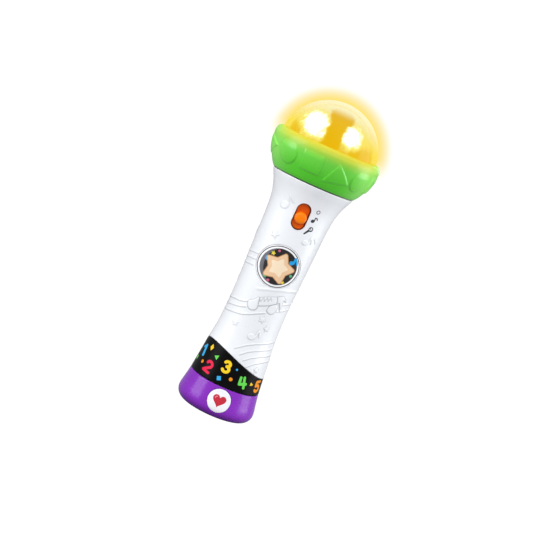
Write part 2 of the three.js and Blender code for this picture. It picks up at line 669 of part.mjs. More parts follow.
// ---------------------------------------------------------------- light unit
const LED_BOARD_SCREW = [[0, 162], [0.7, 162.8], [0.7, 168.7], [1.9, 168.7], [1.9, 169.5], [0, 169.9]];
LED_BOARD_SCREWS.forEach(([x, y], i) =>
  add(`led_board_screw_${i + 1}`, turnedZ(LED_BOARD_SCREW, x, y, 10), "steel"),
);
add(
  "led_board",
  cutAll(turned(band(0, 23.6, 167, 168.6)), [
    rodZ(2.2, 0, 0, 160, 175, 12),
    ...LED_BOARD_SCREWS.map(([x, y]) => rodZ(1.2, x, y, 160, 175, 10)),
  ]),
  "board",
);
add(
  "light_column",
  cutAll(box(-5.3, 5.3, -4.5, 4.5, 168.8, 200.6), [
    box(-4.1, 4.1, -3.3, 3.3, 168, 199.4),
    rodX(0.9, 0, LED_Z, -7, 7, 10),
  ]),
  "white",
);
const LED = [ // [radius, distance from the axis of the handle]
  [0, 5.6], [2.9, 5.6], [2.9, 6.5], [2.5, 6.6], [2.5, 10], [2.1, 11.3], [1.2, 12.1], [0, 12.4],
];
const LED_LEAD = [[5.45, 0, LED_Z], [4, 0, LED_Z], [2.9, 0, 188.6], [2.6, 0, 180], [2.6, 0, 169]];
for (const [place, side] of [["left", -1], ["right", 1]]) {
  add(`led_${place}`, turnedX(LED.map(([r, x]) => [r, side * x]), 0, LED_Z, 16), "led");
  const lead = wire(LED_LEAD.map(([x, y, z]) => [side * x, y, z]), 0.35, 12);
  add(`led_lead_${place}`, lead, "nickel");
}

// ---------------------------------------------------------------- wiring
const WIRE_R = 0.55;
const BATTERY_WIRE = [[8.8, 0.1, 56.6], [9, -2.5, 60], [8, -5, 70], [6.4, -6.4, 78], [6, -7.6, 82]];
const MIC_WIRE = [
  [0, 21.9, MIC_Z], [-1, 18.6, 163.4], [-5, 14.4, 160], [-9, 6, 152],
  [-8, -2.5, 148.6], [-6, -6, 146.8], [-5.4, -7.6, 143],
];
const WIRES = [ // name, material, points, steps where not the default
  ["battery_black", "black", BATTERY_WIRE.map(([x, y, z]) => [-x, y, z])],
  ["battery_red", "red", BATTERY_WIRE],
  ["speaker_red", "red", [[9.6, 5.4, 126.5], [10, 2, 126], [8, -3, 125], [6.6, -7.6, 124]]],
  ["speaker_black", "black", [[9.6, 5.4, 130], [10.6, 2, 130], [8.6, -3, 129.6], [6.6, -7.6, 129]]],
  ["led_red", "red", [[7, -3, 166.4], [7.4, -4.5, 160], [6.6, -6.4, 152], [6, -7.6, 144.5]]],
  ["led_black", "black", [[3.6, -3, 166.4], [4, -4.5, 160], [3.8, -6.4, 152], [3.4, -7.6, 144.5]]],
  ["mic", "card", MIC_WIRE, 18],
];
for (const [name, materialName, points, steps] of WIRES)
  add(`wire_${name}`, wire(points, WIRE_R, steps), materialName);

export default group;
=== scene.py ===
"""A hand-held toy: violet cup, white handle with a printed band, green collar, lit amber dome.

It stands upright on z = 0 with its axis on Z. The front, with switch and label, faces -Y; the
battery door and speaker grille face +Y. Angles round the axis are 0 at the front and grow
towards +X. Lengths are in millimetres unless a comment says metres; meshes are stored in metres.
"""
import math

import bmesh
import bpy
import numpy as np
from mathutils import Matrix, Vector


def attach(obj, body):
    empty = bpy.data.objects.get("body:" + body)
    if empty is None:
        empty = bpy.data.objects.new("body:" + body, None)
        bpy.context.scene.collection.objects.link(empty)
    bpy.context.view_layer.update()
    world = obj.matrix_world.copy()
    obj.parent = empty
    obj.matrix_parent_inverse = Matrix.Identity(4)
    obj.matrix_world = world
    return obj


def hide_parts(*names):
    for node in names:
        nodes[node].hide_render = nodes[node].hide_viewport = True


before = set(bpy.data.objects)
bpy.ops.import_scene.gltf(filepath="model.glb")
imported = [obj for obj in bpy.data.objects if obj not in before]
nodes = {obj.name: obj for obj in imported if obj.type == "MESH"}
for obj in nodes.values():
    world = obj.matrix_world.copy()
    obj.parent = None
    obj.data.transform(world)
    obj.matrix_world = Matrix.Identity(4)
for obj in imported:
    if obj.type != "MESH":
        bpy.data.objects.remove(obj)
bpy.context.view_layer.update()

MM = 0.001
PI = math.pi
scene = bpy.context.scene

# ------------------------------------------------------------------ shared dimensions
# outlines: (height, radius)
HANDLE = [
    (19.8, 23.1), (25, 22.5), (30.6, 21.85), (36, 21.3), (41.4, 20.75), (45.9, 20.1),
    (52.8, 19.3), (63, 18.75), (77, 18.6), (89, 18.85), (101.5, 19.35), (113.6, 19.75),
    (125.6, 20.1), (134.7, 20.6), (140.7, 21.3), (145, 22.4), (149.7, 24.1), (153, 25.6),
    (156.2, 26.9)]
CUP = [
    (0, 20.6), (0.25, 21.7), (1.1, 23.1), (2.3, 24.25), (3.8, 25.02), (5.0, 25.36),
    (6.4, 25.46), (9.2, 25.12), (11.4, 24.66), (13.9, 24.17), (16.4, 23.72), (19.8, 23.1)]
COLLAR = [
    (156.45, 27.0), (158.4, 28.6), (161.2, 30.3), (165.3, 32.3), (168, 33.25), (171, 34.0),
    (174.5, 34.65), (177.5, 34.9), (179.7, 34.45)]
# wavy top of the number band: (degrees, height), once round
WAVE = [(-155, 36.5), (-60, 43.3), (80, 31.0), (205, 36.5)]
DOME_Z, DOME_RADIUS = 178.0, 31.2
# heights of the middles of things
SWITCH_Z, KNOB_Z, LABEL_Z, BADGE_Z, SHAPE_Z = 135.8, 135.0, 101.9, 11.5, 169.4
SLOT_HALF_WIDTH, SLOT_HALF_LENGTH = 4.6, 8.7
DOOR_HALF_WIDTH, DOOR_LOW, DOOR_HIGH, DOOR_GAP = 12.9, 46.4, 115.2, 0.3
DOOR_SCREWS = (("lower", 51.0), ("upper", 111.0))
# (name, x, z)
SHELL_SCREWS = (("upper_left", -12.2, 119.5), ("upper_right", 12.2, 119.5),
                ("lower_left", -11, 42.2), ("lower_right", 11, 42.2))
SPEAKER_Z = 132.0
# (height above the speaker's middle, half length)
GRILLE_SLOTS = ((-8.4, 5.2), (-4.2, 8.4), (0, 9.4), (4.2, 8.4), (8.4, 5.2))
# (centre, radius of the glow) of the two lamps
GLOWS = [((-13.6, 0.0, 190.4), 6.7), ((10.2, 0.0, 191.4), 5.4)]


# ------------------------------------------------------------------ curves
def smooth_curve(stations):
    """Cubic curve through (place, value) stations, constant beyond the ends."""
    place, value = np.array(stations, float).T
    before = np.maximum(np.arange(len(place)) - 1, 0)
    after = np.minimum(np.arange(len(place)) + 1, len(place) - 1)
    slope = (value[after] - value[before]) / (place[after] - place[before])

    def curve(query):
        query = np.asarray(query, float)
        i = np.clip(np.searchsorted(place, query) - 1, 0, len(place) - 2)
        gap = place[i + 1] - place[i]
        part = np.clip((query - place[i]) / gap, 0, 1)
        return ((2 * part**3 - 3 * part**2 + 1) * value[i]
                + (part**3 - 2 * part**2 + part) * gap * slope[i]
                + (-2 * part**3 + 3 * part**2) * value[i + 1]
                + (part**3 - part**2) * gap * slope[i + 1])
    return curve


handle_radius = smooth_curve(HANDLE)
cup_radius = smooth_curve(CUP)
collar_radius = smooth_curve(COLLAR)


def wave_top(degrees):
    place, height = np.array(WAVE, float).T
    turned = (degrees - place[0]) % 360.0 + place[0]
    i = np.clip(np.searchsorted(place, turned, side="right") - 1, 0, len(place) - 2)
    part = (turned - place[i]) / (place[i + 1] - place[i])
    return height[i] + (height[i + 1] - height[i]) * (0.5 - 0.5 * np.cos(PI * part))


def smoothstep(value, start, end):
    part = np.clip((value - start) / (end - start), 0, 1)
    return part * part * (3 - 2 * part)


def fade(value, start, end):
    """1 before start, 0 after end."""
    return 1 - smoothstep(value, start, end)


def wrapped(angle):
    return (angle + PI) % (2 * PI) - PI


def outline(curve, heights, offset=0.0):
    """(radius, height) points of a curve, moved out by offset."""
    return [(float(curve(z)) + offset, float(z)) for z in heights]


# ------------------------------------------------------------------ flat signed distances
# They are negative inside. x runs across and y up in the plane of the drawing.
def segment(x, y, start, end):
    run, rise = end[0] - start[0], end[1] - start[1]
    part = ((x - start[0]) * run + (y - start[1]) * rise) / (run * run + rise * rise + 1e-12)
    part = np.clip(part, 0, 1)
    return np.hypot(x - start[0] - part * run, y - start[1] - part * rise)


def stroke(x, y, points, half_width):
    lines = zip(points[:-1], points[1:])
    return np.min([segment(x, y, *line) for line in lines], axis=0) - half_width


def polygon(x, y, corners):
    edges = list(zip(corners, corners[1:] + corners[:1]))
    inside = np.zeros(np.shape(x), bool)
    for (x0, y0), (x1, y1) in edges:
        if y0 != y1:
            inside ^= ((y0 > y) != (y1 > y)) & (x < (x1 - x0) * (y - y0) / (y1 - y0) + x0)
    distance = np.min([segment(x, y, *edge) for edge in edges], axis=0)
    return np.where(inside, -distance, distance)


def disc(x, y, radius, centre=(0, 0)):
    return np.hypot(x - centre[0], y - centre[1]) - radius


def arc(x, y, radius, start, end):
    """15 points of an arc round (x, y); start and end in degrees."""
    angles = [math.radians(start + (end - start) * i / 14) for i in range(15)]
    return [(x + radius * math.cos(angle), y + radius * math.sin(angle)) for angle in angles]


def star(radius, ratio):
    """Corners of a five-pointed star; ratio is the inner radius over the outer."""
    reaches = [radius if k % 2 == 0 else radius * ratio for k in range(10)]
    angles = [math.radians(90 + k * 36) for k in range(10)]
    return [(reach * math.cos(angle), reach * math.sin(angle))
            for reach, angle in zip(reaches, angles)]


def square(half):
    return [(-half, -half), (half, -half), (half, half), (-half, half)]


def heart(size):
    """Corners of a heart of the given half width."""
    return [(size * 16 * math.sin(a) ** 3 / 16,
             size * (13 * math.cos(a) - 5 * math.cos(2 * a) - 2 * math.cos(3 * a)
                     - math.cos(4 * a)) / 16)
            for a in np.linspace(0, 2 * PI, 60, endpoint=False)]


def rotated(x, y, degrees):
    cosine, sine = math.cos(math.radians(degrees)), math.sin(math.radians(degrees))
    return x * cosine + y * sine, -x * sine + y * cosine


def digit(x, y, number, width):
    """A rounded numeral from 1 to 5, about 8 mm tall, centred on the origin."""
    pen = 0.91
    x = x / width
    if number == 1:
        return np.minimum(stroke(x, y, [(0.3, 3.2), (0.3, -3.2)], pen),
                          stroke(x, y, [(0.3, 3.2), (-1.7, 2.0)], pen * 0.8))
    if number == 2:
        return stroke(x, y, arc(-0.05, 1.35, 1.95, 165, -25) + [(-2.1, -3.15), (2.2, -3.15)], pen)
    if number == 3:
        return np.minimum(stroke(x, y, arc(-0.2, 1.75, 1.6, 155, -80), pen),
                          stroke(x, y, arc(-0.1, -1.45, 1.85, 85, -155), pen))
    if number == 4:
        return np.minimum(stroke(x, y, [(-1.5, 3.2), (-2.3, -0.9), (2.4, -0.9)], pen),
                          stroke(x, y, [(1.0, 3.2), (1.0, -3.3)], pen))
    hook = [(2.0, 3.2), (-1.3, 3.2), (-1.6, 0.55)] + arc(-0.05, -1.15, 1.95, 125, -150)
    return stroke(x, y, hook, pen)


def note(x, y, tall, head):
    """A single note: head at the origin, stem on its right, bent flag."""
    head_x, head_y = rotated(x, y, 18)
    distance = np.hypot(head_x / 1.18, head_y) - head * 0.9
    stem = head * 0.92
    distance = np.minimum(distance, stroke(x, y, [(stem, 0.3), (stem, tall)], 0.55))
    flag = [(stem, tall), (stem + 1.5, tall - 1.5), (stem + 2.3, tall - 3.2)]
    return np.minimum(distance, stroke(x, y, flag, 0.5))


def on_handle(angle, z, degrees, height, turn=0.0):
    """Flat coordinates round the place (degrees, height) on the handle."""
    offset = wrapped(angle - math.radians(degrees))
    return rotated(handle_radius(height) * offset, z - height, turn)


# ------------------------------------------------------------------ mesh building
def mesh_object(points, faces):
    """Object from points in mm and a list of index arrays, one row per face."""
    mesh = bpy.data.meshes.new("piece")
    mesh.vertices.add(len(points))
    mesh.vertices.foreach_set("co", (points * MM).astype(np.float32).ravel())
    loops = np.concatenate([group.ravel() for group in faces]).astype(np.int32)
    sizes = np.concatenate([np.full(len(group), group.shape[1], np.int32) for group in faces])
    starts = np.concatenate([[0], np.cumsum(sizes)[:-1]]).astype(np.int32)
    mesh.loops.add(len(loops))
    mesh.loops.foreach_set("vertex_index", loops)
    mesh.polygons.add(len(sizes))
    mesh.polygons.foreach_set("loop_start", starts)
    mesh.update(calc_edges=True)
    made = bpy.data.objects.new("piece", mesh)
    scene.collection.objects.link(made)
    return made


def volume(points, faces):
    total = 0.0
    for group in faces:
        first = points[group[:, 0]]
        for k in range(1, group.shape[1] - 1):
            normal = np.cross(points[group[:, k]], points[group[:, k + 1]])
            total += np.einsum("ij,ij->i", first, normal).sum()
    return total / 6


def solid(points, faces):
    """Closed object with its faces turned outwards."""
    points = np.asarray(points, float)
    if volume(points, faces) < 0:
        faces = [group[:, ::-1] for group in faces]
    return mesh_object(points, faces)


def around_axis(angle, radius, z):
    return np.stack([radius * np.sin(angle), -radius * np.cos(angle), z + 0 * radius], -1)


def bent(x, radius, z, side):
    """Points on a surface of revolution over (x, z), on the -Y (side -1) or +Y (1) side."""
    return np.stack([x, side * np.sqrt(radius**2 - x**2), z], -1)


def grid_faces(grid, wrap_rows=False, wrap_columns=False):
    if wrap_rows:
        grid = np.concatenate([grid, grid[:1]], 0)
    if wrap_columns:
        grid = np.concatenate([grid, grid[:, :1]], 1)
    corners = [grid[:-1, :-1], grid[:-1, 1:], grid[1:, 1:], grid[1:, :-1]]
    return np.stack(corners, -1).reshape(-1, 4)


def fan(hub, ring, backwards=False):
    after = np.roll(ring, -1)
    pair = (after, ring) if backwards else (ring, after)
    return np.stack([np.full(len(ring), hub), *pair], -1)


def slab(outer, inner, closed=False):
    """Solid between two matching grids of points; closed joins the last column to the first."""
    count = outer.shape[0] * outer.shape[1]
    top = np.arange(count).reshape(outer.shape[:2])
    under = top + count
    faces = [grid_faces(top, wrap_columns=closed), grid_faces(under, wrap_columns=closed)[:, ::-1]]
    borders = [(top[0], under[0]), (under[-1], top[-1])]
    if closed:
        borders = [(np.append(a, a[0]), np.append(b, b[0])) for a, b in borders]
    else:
        borders += [(under[:, 0], top[:, 0]), (top[:, -1], under[:, -1])]
    faces += [np.stack([a[:-1], b[:-1], b[1:], a[1:]], -1) for a, b in borders]
    return solid(np.concatenate([outer.reshape(-1, 3), inner.reshape(-1, 3)]), faces)


def lathe(profile, segments, displace=None, axis="z", centre=(0.0, 0.0)):
    """Turned solid from (radius, height) points.

    On axis z, centre is (x, y). On axis y, centre is (x, z) and heights run along +Y.
    A profile that starts and ends on the axis is capped there; any other closes on itself.
    """
    profile = np.array(profile, float)
    capped = profile[0, 0] == 0 and profile[-1, 0] == 0
    rings = profile[1:-1] if capped else profile
    angles = np.linspace(-PI, PI, segments, endpoint=False)
    angle, radius = np.meshgrid(angles, rings[:, 0])
    z = np.repeat(rings[:, 1:], segments, 1)
    if displace is not None:
        radius, z = displace(angle, radius, z)
    points = around_axis(angle, radius, z).reshape(-1, 3)
    grid = np.arange(len(points)).reshape(len(rings), segments)
    faces = [grid_faces(grid, wrap_rows=not capped, wrap_columns=True)]
    if capped:
        hub = len(points)
        points = np.concatenate([points, [[0, 0, profile[0, 1]], [0, 0, profile[-1, 1]]]])
        faces += [fan(hub, grid[0], backwards=True), fan(hub + 1, grid[-1])]
    if axis == "y":
        points = np.stack([points[:, 0], points[:, 2], -points[:, 1]], -1)
        points = points + np.array([centre[0], 0, centre[1]])
    else:
        points = points + np.array([centre[0], centre[1], 0])
    return solid(points, faces)


def rod_y(radius, x, z, y0, y1, segments=48):
    profile = [(0, y0), (radius, y0), (radius, y1), (0, y1)]
    return lathe(profile, segments, axis="y", centre=(x, z))


def box(x0, x1, y0, y1, z0, z1):
    points = [(x, y, z) for x in (x0, x1) for y in (y0, y1) for z in (z0, z1)]
    faces = [(0, 1, 3, 2), (4, 6, 7, 5), (0, 4, 5, 1), (2, 3, 7, 6), (0, 2, 6, 4), (1, 5, 7, 3)]
    return solid(points, [np.array(faces)])


def prism_y(corners, y0, y1):
    """Prism along Y from an (x, z) outline."""
    count = len(corners)
    points = [(x, y, z) for y in (y0, y1) for x, z in corners]
    i = np.arange(count)
    sides = np.stack([i, (i + 1) % count, (i + 1) % count + count, i + count], -1)
    return solid(points, [sides, i[None, ::-1], (i + count)[None, :]])


def stadium(half_width, half_length, x, z, steps, along="z"):
    """Round-ended slot outline round (x, z); steps is the count of edges in each end."""
    straight = half_length - half_width
    angles = [PI * k / steps for k in range(steps + 1)]
    end = [(half_width * math.cos(a), straight + half_width * math.sin(a)) for a in angles]
    loop = end + [(-across, -up) for across, up in end]
    if along == "z":
        return [(x + across, z + up) for across, up in loop]
    return [(x + up, z + across) for across, up in loop]


def sleeve(curve, heights, inner, outer, segments):
    """Tube that follows a curve, from inner to outer beyond its radius."""
    profile = outline(curve, heights, outer) + outline(curve, heights[::-1], inner)
    return lathe(profile, segments)


def boolean(piece, cutters, operation="DIFFERENCE"):
    """Apply each cutter to the piece and delete it."""
    for cutter in cutters:
        modifier = piece.modifiers.new("boolean", "BOOLEAN")
        modifier.operation = operation
        modifier.solver = "MANIFOLD"
        modifier.object = cutter
        depsgraph = bpy.context.evaluated_depsgraph_get()
        cut = bpy.data.meshes.new_from_object(piece.evaluated_get(depsgraph))
        piece.modifiers.clear()
        uncut = piece.data
        piece.data = cut
        bpy.data.meshes.remove(uncut)
        if len(cut.polygons) == 0:
            raise RuntimeError("a boolean left nothing of its piece")
    for cutter in cutters:
        mesh = cutter.data
        bpy.data.objects.remove(cutter)
        bpy.data.meshes.remove(mesh)


def join_cad_inside(piece, node, profile, segments):
    """Join on the part of a CAD piece that lies inside a turned core."""
    inside = nodes[node].copy()
    inside.data = nodes[node].data.copy()
    inside.parent = None
    scene.collection.objects.link(inside)
    mesh = bmesh.new()
    mesh.from_mesh(inside.data)
    bmesh.ops.remove_doubles(mesh, verts=mesh.verts, dist=2e-7)
    mesh.to_mesh(inside.data)
    mesh.free()
    inside.data.materials.clear()
    boolean(inside, [lathe(profile, segments)], "INTERSECT")
    boolean(piece, [inside], "UNION")


def vertex_places(piece):
    """Angle, radius, x, y and z of every vertex."""
    points = np.zeros(len(piece.data.vertices) * 3, np.float32)
    piece.data.vertices.foreach_get("co", points)
    x, y, z = (points.reshape(-1, 3).astype(float) / MM).T
    return np.arctan2(x, -y), np.hypot(x, y), x, y, z


def paint(piece, **fields):
    """Store values per vertex, such as an ink's signed distance, for the materials."""
    for name, values in fields.items():
        layer = piece.data.attributes.new(name, "FLOAT", "POINT")
        layer.data.foreach_set("value", np.asarray(values, np.float32))


def finish(piece, node, material, sharp, body="handle"):
    """Name, colour and smooth a piece and put it in the place of its CAD node.

    sharp is the angle in degrees above which edges stay sharp.
    """
    piece.name = node + "_finished"
    piece.data.name = piece.name
    piece.data.materials.clear()
    piece.data.materials.append(material)
    piece.data.shade_smooth()
    piece.data.set_sharp_from_angle(angle=math.radians(sharp))
    normals = piece.modifiers.new("normals", "WEIGHTED_NORMAL")
    normals.keep_sharp = True
    normals.weight = 60
    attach(piece, body)
    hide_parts(node)


# ------------------------------------------------------------------ shader graphs
NOISE_RANGE = (0.3, 0.7)  # span that holds nearly all values of a noise


def srgb(red, green, blue):
    """Linear colour from 0-255 display values."""
    return tuple((c / 255) / 12.92 if c <= 10.3 else (((c / 255) + 0.055) / 1.055) ** 2.4
                 for c in (red, green, blue)) + (1.0,)


def scaled(colour, factor):
    return tuple(min(c * factor, 1) for c in colour[:3]) + (1,)


class Wire:
    """Output of a shader node. Arithmetic on it adds Math nodes."""

    def __init__(self, socket):
        self.socket = socket

    def sibling(self, name):
        """Another output of the same node."""
        return Wire(self.socket.node.outputs[name])

    def __add__(self, other):
        return calc("ADD", self, other)

    def __radd__(self, other):
        return calc("ADD", other, self)

    def __sub__(self, other):
        return calc("SUBTRACT", self, other)

    def __rsub__(self, other):
        return calc("SUBTRACT", other, self)

    def __mul__(self, other):
        return calc("MULTIPLY", self, other)

    def __pow__(self, other):
        return calc("POWER", self, other)


def start_graph(owner, output):
    """Make the node tree of a material or world the current graph; returns its surface input."""
    global graph
    owner.use_nodes = True
    graph = owner.node_tree
    graph.nodes.clear()
    return graph.nodes.new("ShaderNode" + output).inputs["Surface"]


def material(name, look, **settings):
    """Material whose surface is made by the function look. place is the point in the object."""
    global place
    made = bpy.data.materials.new(name)
    surface = start_graph(made, "OutputMaterial")
    place = node("TexCoord", out="Object")
    graph.links.new(look(**settings).socket, surface)
    return made


def node(kind, inputs=None, out=0, **settings):
    """Add a node to the current graph; inputs are values or wires."""
    made = graph.nodes.new("ShaderNode" + kind)
    for key, value in settings.items():
        setattr(made, key, value)
    for key, value in (inputs or {}).items():
        if isinstance(value, Wire):
            graph.links.new(value.socket, made.inputs[key])
        else:
            made.inputs[key].default_value = value
    return Wire(made.outputs[out])


def calc(operation, first, second=0.0):
    return node("Math", {0: first, 1: second}, operation=operation)


def vector(operation, first, second=(0, 0, 0), out=0):
    return node("VectorMath", {0: first, 1: second}, out, operation=operation)


def dot(first, second):
    return vector("DOT_PRODUCT", first, second, out=1)


def length(value):
    return vector("LENGTH", value, out=1)


def levelled(value):
    """Unit horizontal direction of a vector."""
    return vector("NORMALIZE", vector("MULTIPLY", value, (1, 1, 0)))


def mix(factor, first, second):
    return node("Mix", {"Factor": factor, 6: first, 7: second}, 2, data_type="RGBA")


def ramp(value, span=NOISE_RANGE, to=(0.0, 1.0)):
    """Smooth change between the levels in to, as value goes over the span."""
    limits = {"Value": value, "From Min": span[0], "From Max": span[1],
              "To Min": to[0], "To Max": to[1]}
    return node("MapRange", limits, "Result", interpolation_type="SMOOTHSTEP")


def noise(scale, detail=3.0, rough=0.5, stretch=None, out="Fac"):
    where = place if stretch is None else vector("MULTIPLY", place, stretch)
    return node("TexNoise", {"Vector": where, "Scale": scale, "Detail": detail,
                             "Roughness": rough}, out)


def painted(name):
    return node("Attribute", out="Fac", attribute_name=name)


def axis(index, point=None):
    return node("SeparateXYZ", {0: place if point is None else point}, index)


def bump(height, strength, distance):
    """distance in metres."""
    return node("Bump", {"Strength": strength, "Distance": distance, "Height": height})


def principled(**inputs):
    return node("BsdfPrincipled", {key.replace("_", " "): inputs[key] for key in inputs})


def emission(colour, strength):
    return node("Emission", {"Color": colour, "Strength": strength})


def mix_shader(factor, first, second):
    return node("MixShader", {0: factor, 1: first, 2: second})


# ------------------------------------------------------------------ materials, metres
def plastic(colour, rough=0.3, coat=0.0, tone=0.3, grain=0.2, grain_scale=1800.0, spec=0.5,
            inks=(), painted_moulding_light=False, low=None):
    """tone is the depth of the mottling, grain the strength of the fine bumps.

    inks are (painted distance, colour) layers; low is a colour of painted shade for the lowest
    part;
    the moulding flag paints shade in the outlines' grooves and along the parting line, and a
    highlight on the top rim.
    """
    soft = noise(scale=38.0, detail=2.0)
    fine = noise(scale=grain_scale, detail=4.0, rough=0.6)
    base = mix(ramp(soft), scaled(colour, 1 - tone), scaled(colour, 1 + tone))
    if painted_moulding_light:
        # painted shade: little light reaches the bottoms of the outlines
        base = mix(painted("cut"), base, (0.20, 0.21, 0.23, 1))
        # painted shade in the seam along the parting line between the two shells
        parting = ramp(calc("ABSOLUTE", axis(1)), span=(0.00026, 0.00012))
        base = mix(parting * 0.6, base, scaled(colour, 0.35))
        # painted highlight: a white line along the top rim of the handle, under the collar
        base = mix(ramp(axis(2), span=(0.1553, 0.1558)), base, (1, 1, 1, 1))
    if low is not None:
        # painted shade: darker towards the bottom
        base = mix(ramp(axis(2), span=(0.0058, 0.0012)), base, low)
    for name, ink in inks:
        base = mix(ramp(painted(name), span=(0.05, -0.05)), base, ink)
    roughness = ramp(fine, to=(-0.04, 0.05)) + rough + ramp(soft, to=(-0.03, 0.03))
    return principled(Base_Color=base, Roughness=roughness, Metallic=0.0, Coat_Weight=coat,
                      Coat_Roughness=0.12, Specular_IOR_Level=spec,
                      Normal=bump(fine, strength=grain, distance=0.00005))


def metal(colour, rough, stretch=(1, 1, 1)):
    """stretch multiplies the grain's frequency on each axis."""
    grain = noise(scale=900.0, detail=5.0, rough=0.65, stretch=stretch)
    stain = noise(scale=120.0)
    base = mix(ramp(grain), scaled(colour, 0.78), colour)
    base = mix(ramp(stain, span=(0.45, 0.75), to=(0, 0.3)), base, scaled(colour, 0.55))
    roughness = ramp(grain, span=(0.25, 0.75), to=(rough - 0.08, rough + 0.12))
    return principled(Base_Color=base, Metallic=1.0, Roughness=roughness, Anisotropic=0.3,
                      Normal=bump(grain, strength=0.12, distance=0.00005))


def paper_cone():
    fibre = noise(scale=1500.0, detail=6.0, rough=0.7)
    base = mix(ramp(fibre), (0.012, 0.012, 0.013, 1), (0.04, 0.04, 0.043, 1))
    return principled(Base_Color=base, Roughness=0.8,
                      Normal=bump(fibre, strength=0.6, distance=0.0001))


def cloth():
    threads = [node("TexWave", {"Vector": place, "Scale": 620.0, "Distortion": 0.6}, "Fac",
                    wave_type="BANDS", bands_direction=direction) for direction in "XZ"]
    weave = threads[0] * threads[1]
    base = mix(weave, (0.008, 0.008, 0.009, 1), (0.06, 0.06, 0.065, 1))
    return principled(Base_Color=base, Roughness=0.95,
                      Normal=bump(weave, strength=0.8, distance=0.0002))


def cell_wrap():
    """Dark wrap, copper at the positive end: up on the left (-X) cell, down on the right."""
    z = axis(2)
    left = calc("LESS_THAN", axis(0), 0.0)
    past_edge = left * (z - 0.0885) + (1.0 - left) * (0.0715 - z)
    wear = noise(scale=160.0, detail=4.0)
    body = mix(ramp(wear), (0.018, 0.02, 0.026, 1), (0.03, 0.034, 0.044, 1))
    base = mix(ramp(past_edge, span=(-0.0001, 0.0001)), body, (0.55, 0.26, 0.07, 1))
    ring = (ramp(past_edge, span=(-0.0012, -0.0011))
            * ramp(past_edge, span=(-0.0004, -0.0005)))
    base = mix(ring, base, (0.75, 0.75, 0.75, 1))
    return principled(Base_Color=base, Metallic=0.55, Roughness=ramp(wear, to=(0.24, 0.36)),
                      Coat_Weight=0.3, Normal=bump(wear, strength=0.05, distance=0.0001))


def green_gloss():
    """Green with painted light: a painted sheen lightens it towards its sides, and a painted glow
    of the dome turns it yellow at the top.
    """
    z = axis(2)
    soft = noise(scale=34.0, detail=2.0)
    fine = noise(scale=1800.0, detail=4.0, rough=0.6)
    base = mix(ramp(soft), srgb(73, 200, 20), srgb(81, 207, 27))
    # painted light: lighter green towards the top, darker below where the collar faces down
    base = mix(ramp(z, span=(0.160, 0.178)), base, srgb(108, 208, 66))
    # painted shade in the gap along the bottom edge, under the collar
    base = mix(ramp(z, span=(0.15705, 0.15665)), base, srgb(24, 66, 18))
    # 1 where the surface faces the viewer, 0 at the sides
    toward = dot(levelled(place), levelled(node("NewGeometry", out="Incoming")))
    # painted sheen: lighter green towards the sides as seen from the camera
    sides = ramp(toward, span=(0.90, 0.35)) * ramp(z, span=(0.157, 0.166), to=(0.45, 0.8))
    base = mix(sides, base, srgb(148, 238, 100))
    front = ramp(toward, span=(0.1, 0.75))
    # painted glow of the dome's light on the top of the collar, stronger where it faces the
    # camera; it also sets the emission
    glow = ramp(z, span=(0.1705, 0.1825)) ** 1.5 * (0.2 + front * 0.65)
    base = mix(glow, base, srgb(214, 186, 56))
    # reflections are weaker at the sides and absent on the top rim
    calm = (0.45 + front * 0.55) * ramp(z, span=(0.1795, 0.1815), to=(1.0, 0.0))
    return principled(
        Base_Color=base, Roughness=ramp(fine, to=(0.26, 0.36)),
        Coat_Weight=(1.0 - glow) * calm * 0.2, Coat_Roughness=0.15,
        Specular_IOR_Level=(0.48 - glow * 0.48) * calm,
        Emission_Color=srgb(240, 205, 60), Emission_Strength=glow * 0.15,
        Normal=bump(fine, strength=0.03, distance=0.00005))


def orange_gloss():
    y = axis(1)
    fine = noise(scale=1800.0, detail=4.0, rough=0.6)
    soft = noise(scale=60.0, detail=2.0)
    # painted shade of the recess: the sunk plate is a darker orange than the knob
    plate_shaded = mix(ramp(soft), srgb(232, 92, 0), srgb(243, 103, 0))
    # painted shade: the slot's rim keeps the light off the edge of the sunk plate; it is placed by
    # world position, so it stays with the slot wherever the slider stands
    world_place = node("NewGeometry", out="Position")
    side = axis(0, world_place)
    straight = (SLOT_HALF_LENGTH - SLOT_HALF_WIDTH) * MM
    from_middle = calc("ABSOLUTE", axis(2, world_place) - SWITCH_Z * MM)
    past = calc("MAXIMUM", from_middle - straight, 0.0)
    from_rim = calc("SQRT", side * side + past * past) - SLOT_HALF_WIDTH * MM
    plate = ramp(y, span=(-0.0190, -0.0186))
    plate_shaded = mix(ramp(from_rim, span=(-0.0012, -0.0004)) * plate * 0.94, plate_shaded, srgb(66, 14, 0))
    # the knob, standing out of the recess, keeps the lighter orange without the painted shade
    base = mix(ramp(y, span=(-0.0192, -0.0226)), plate_shaded, srgb(252, 126, 0))
    return principled(Base_Color=base, Roughness=ramp(fine, to=(0.26, 0.36)),
                      Coat_Weight=0.06, Coat_Roughness=0.15, Specular_IOR_Level=0.2,
                      Normal=bump(fine, strength=0.04, distance=0.00005))


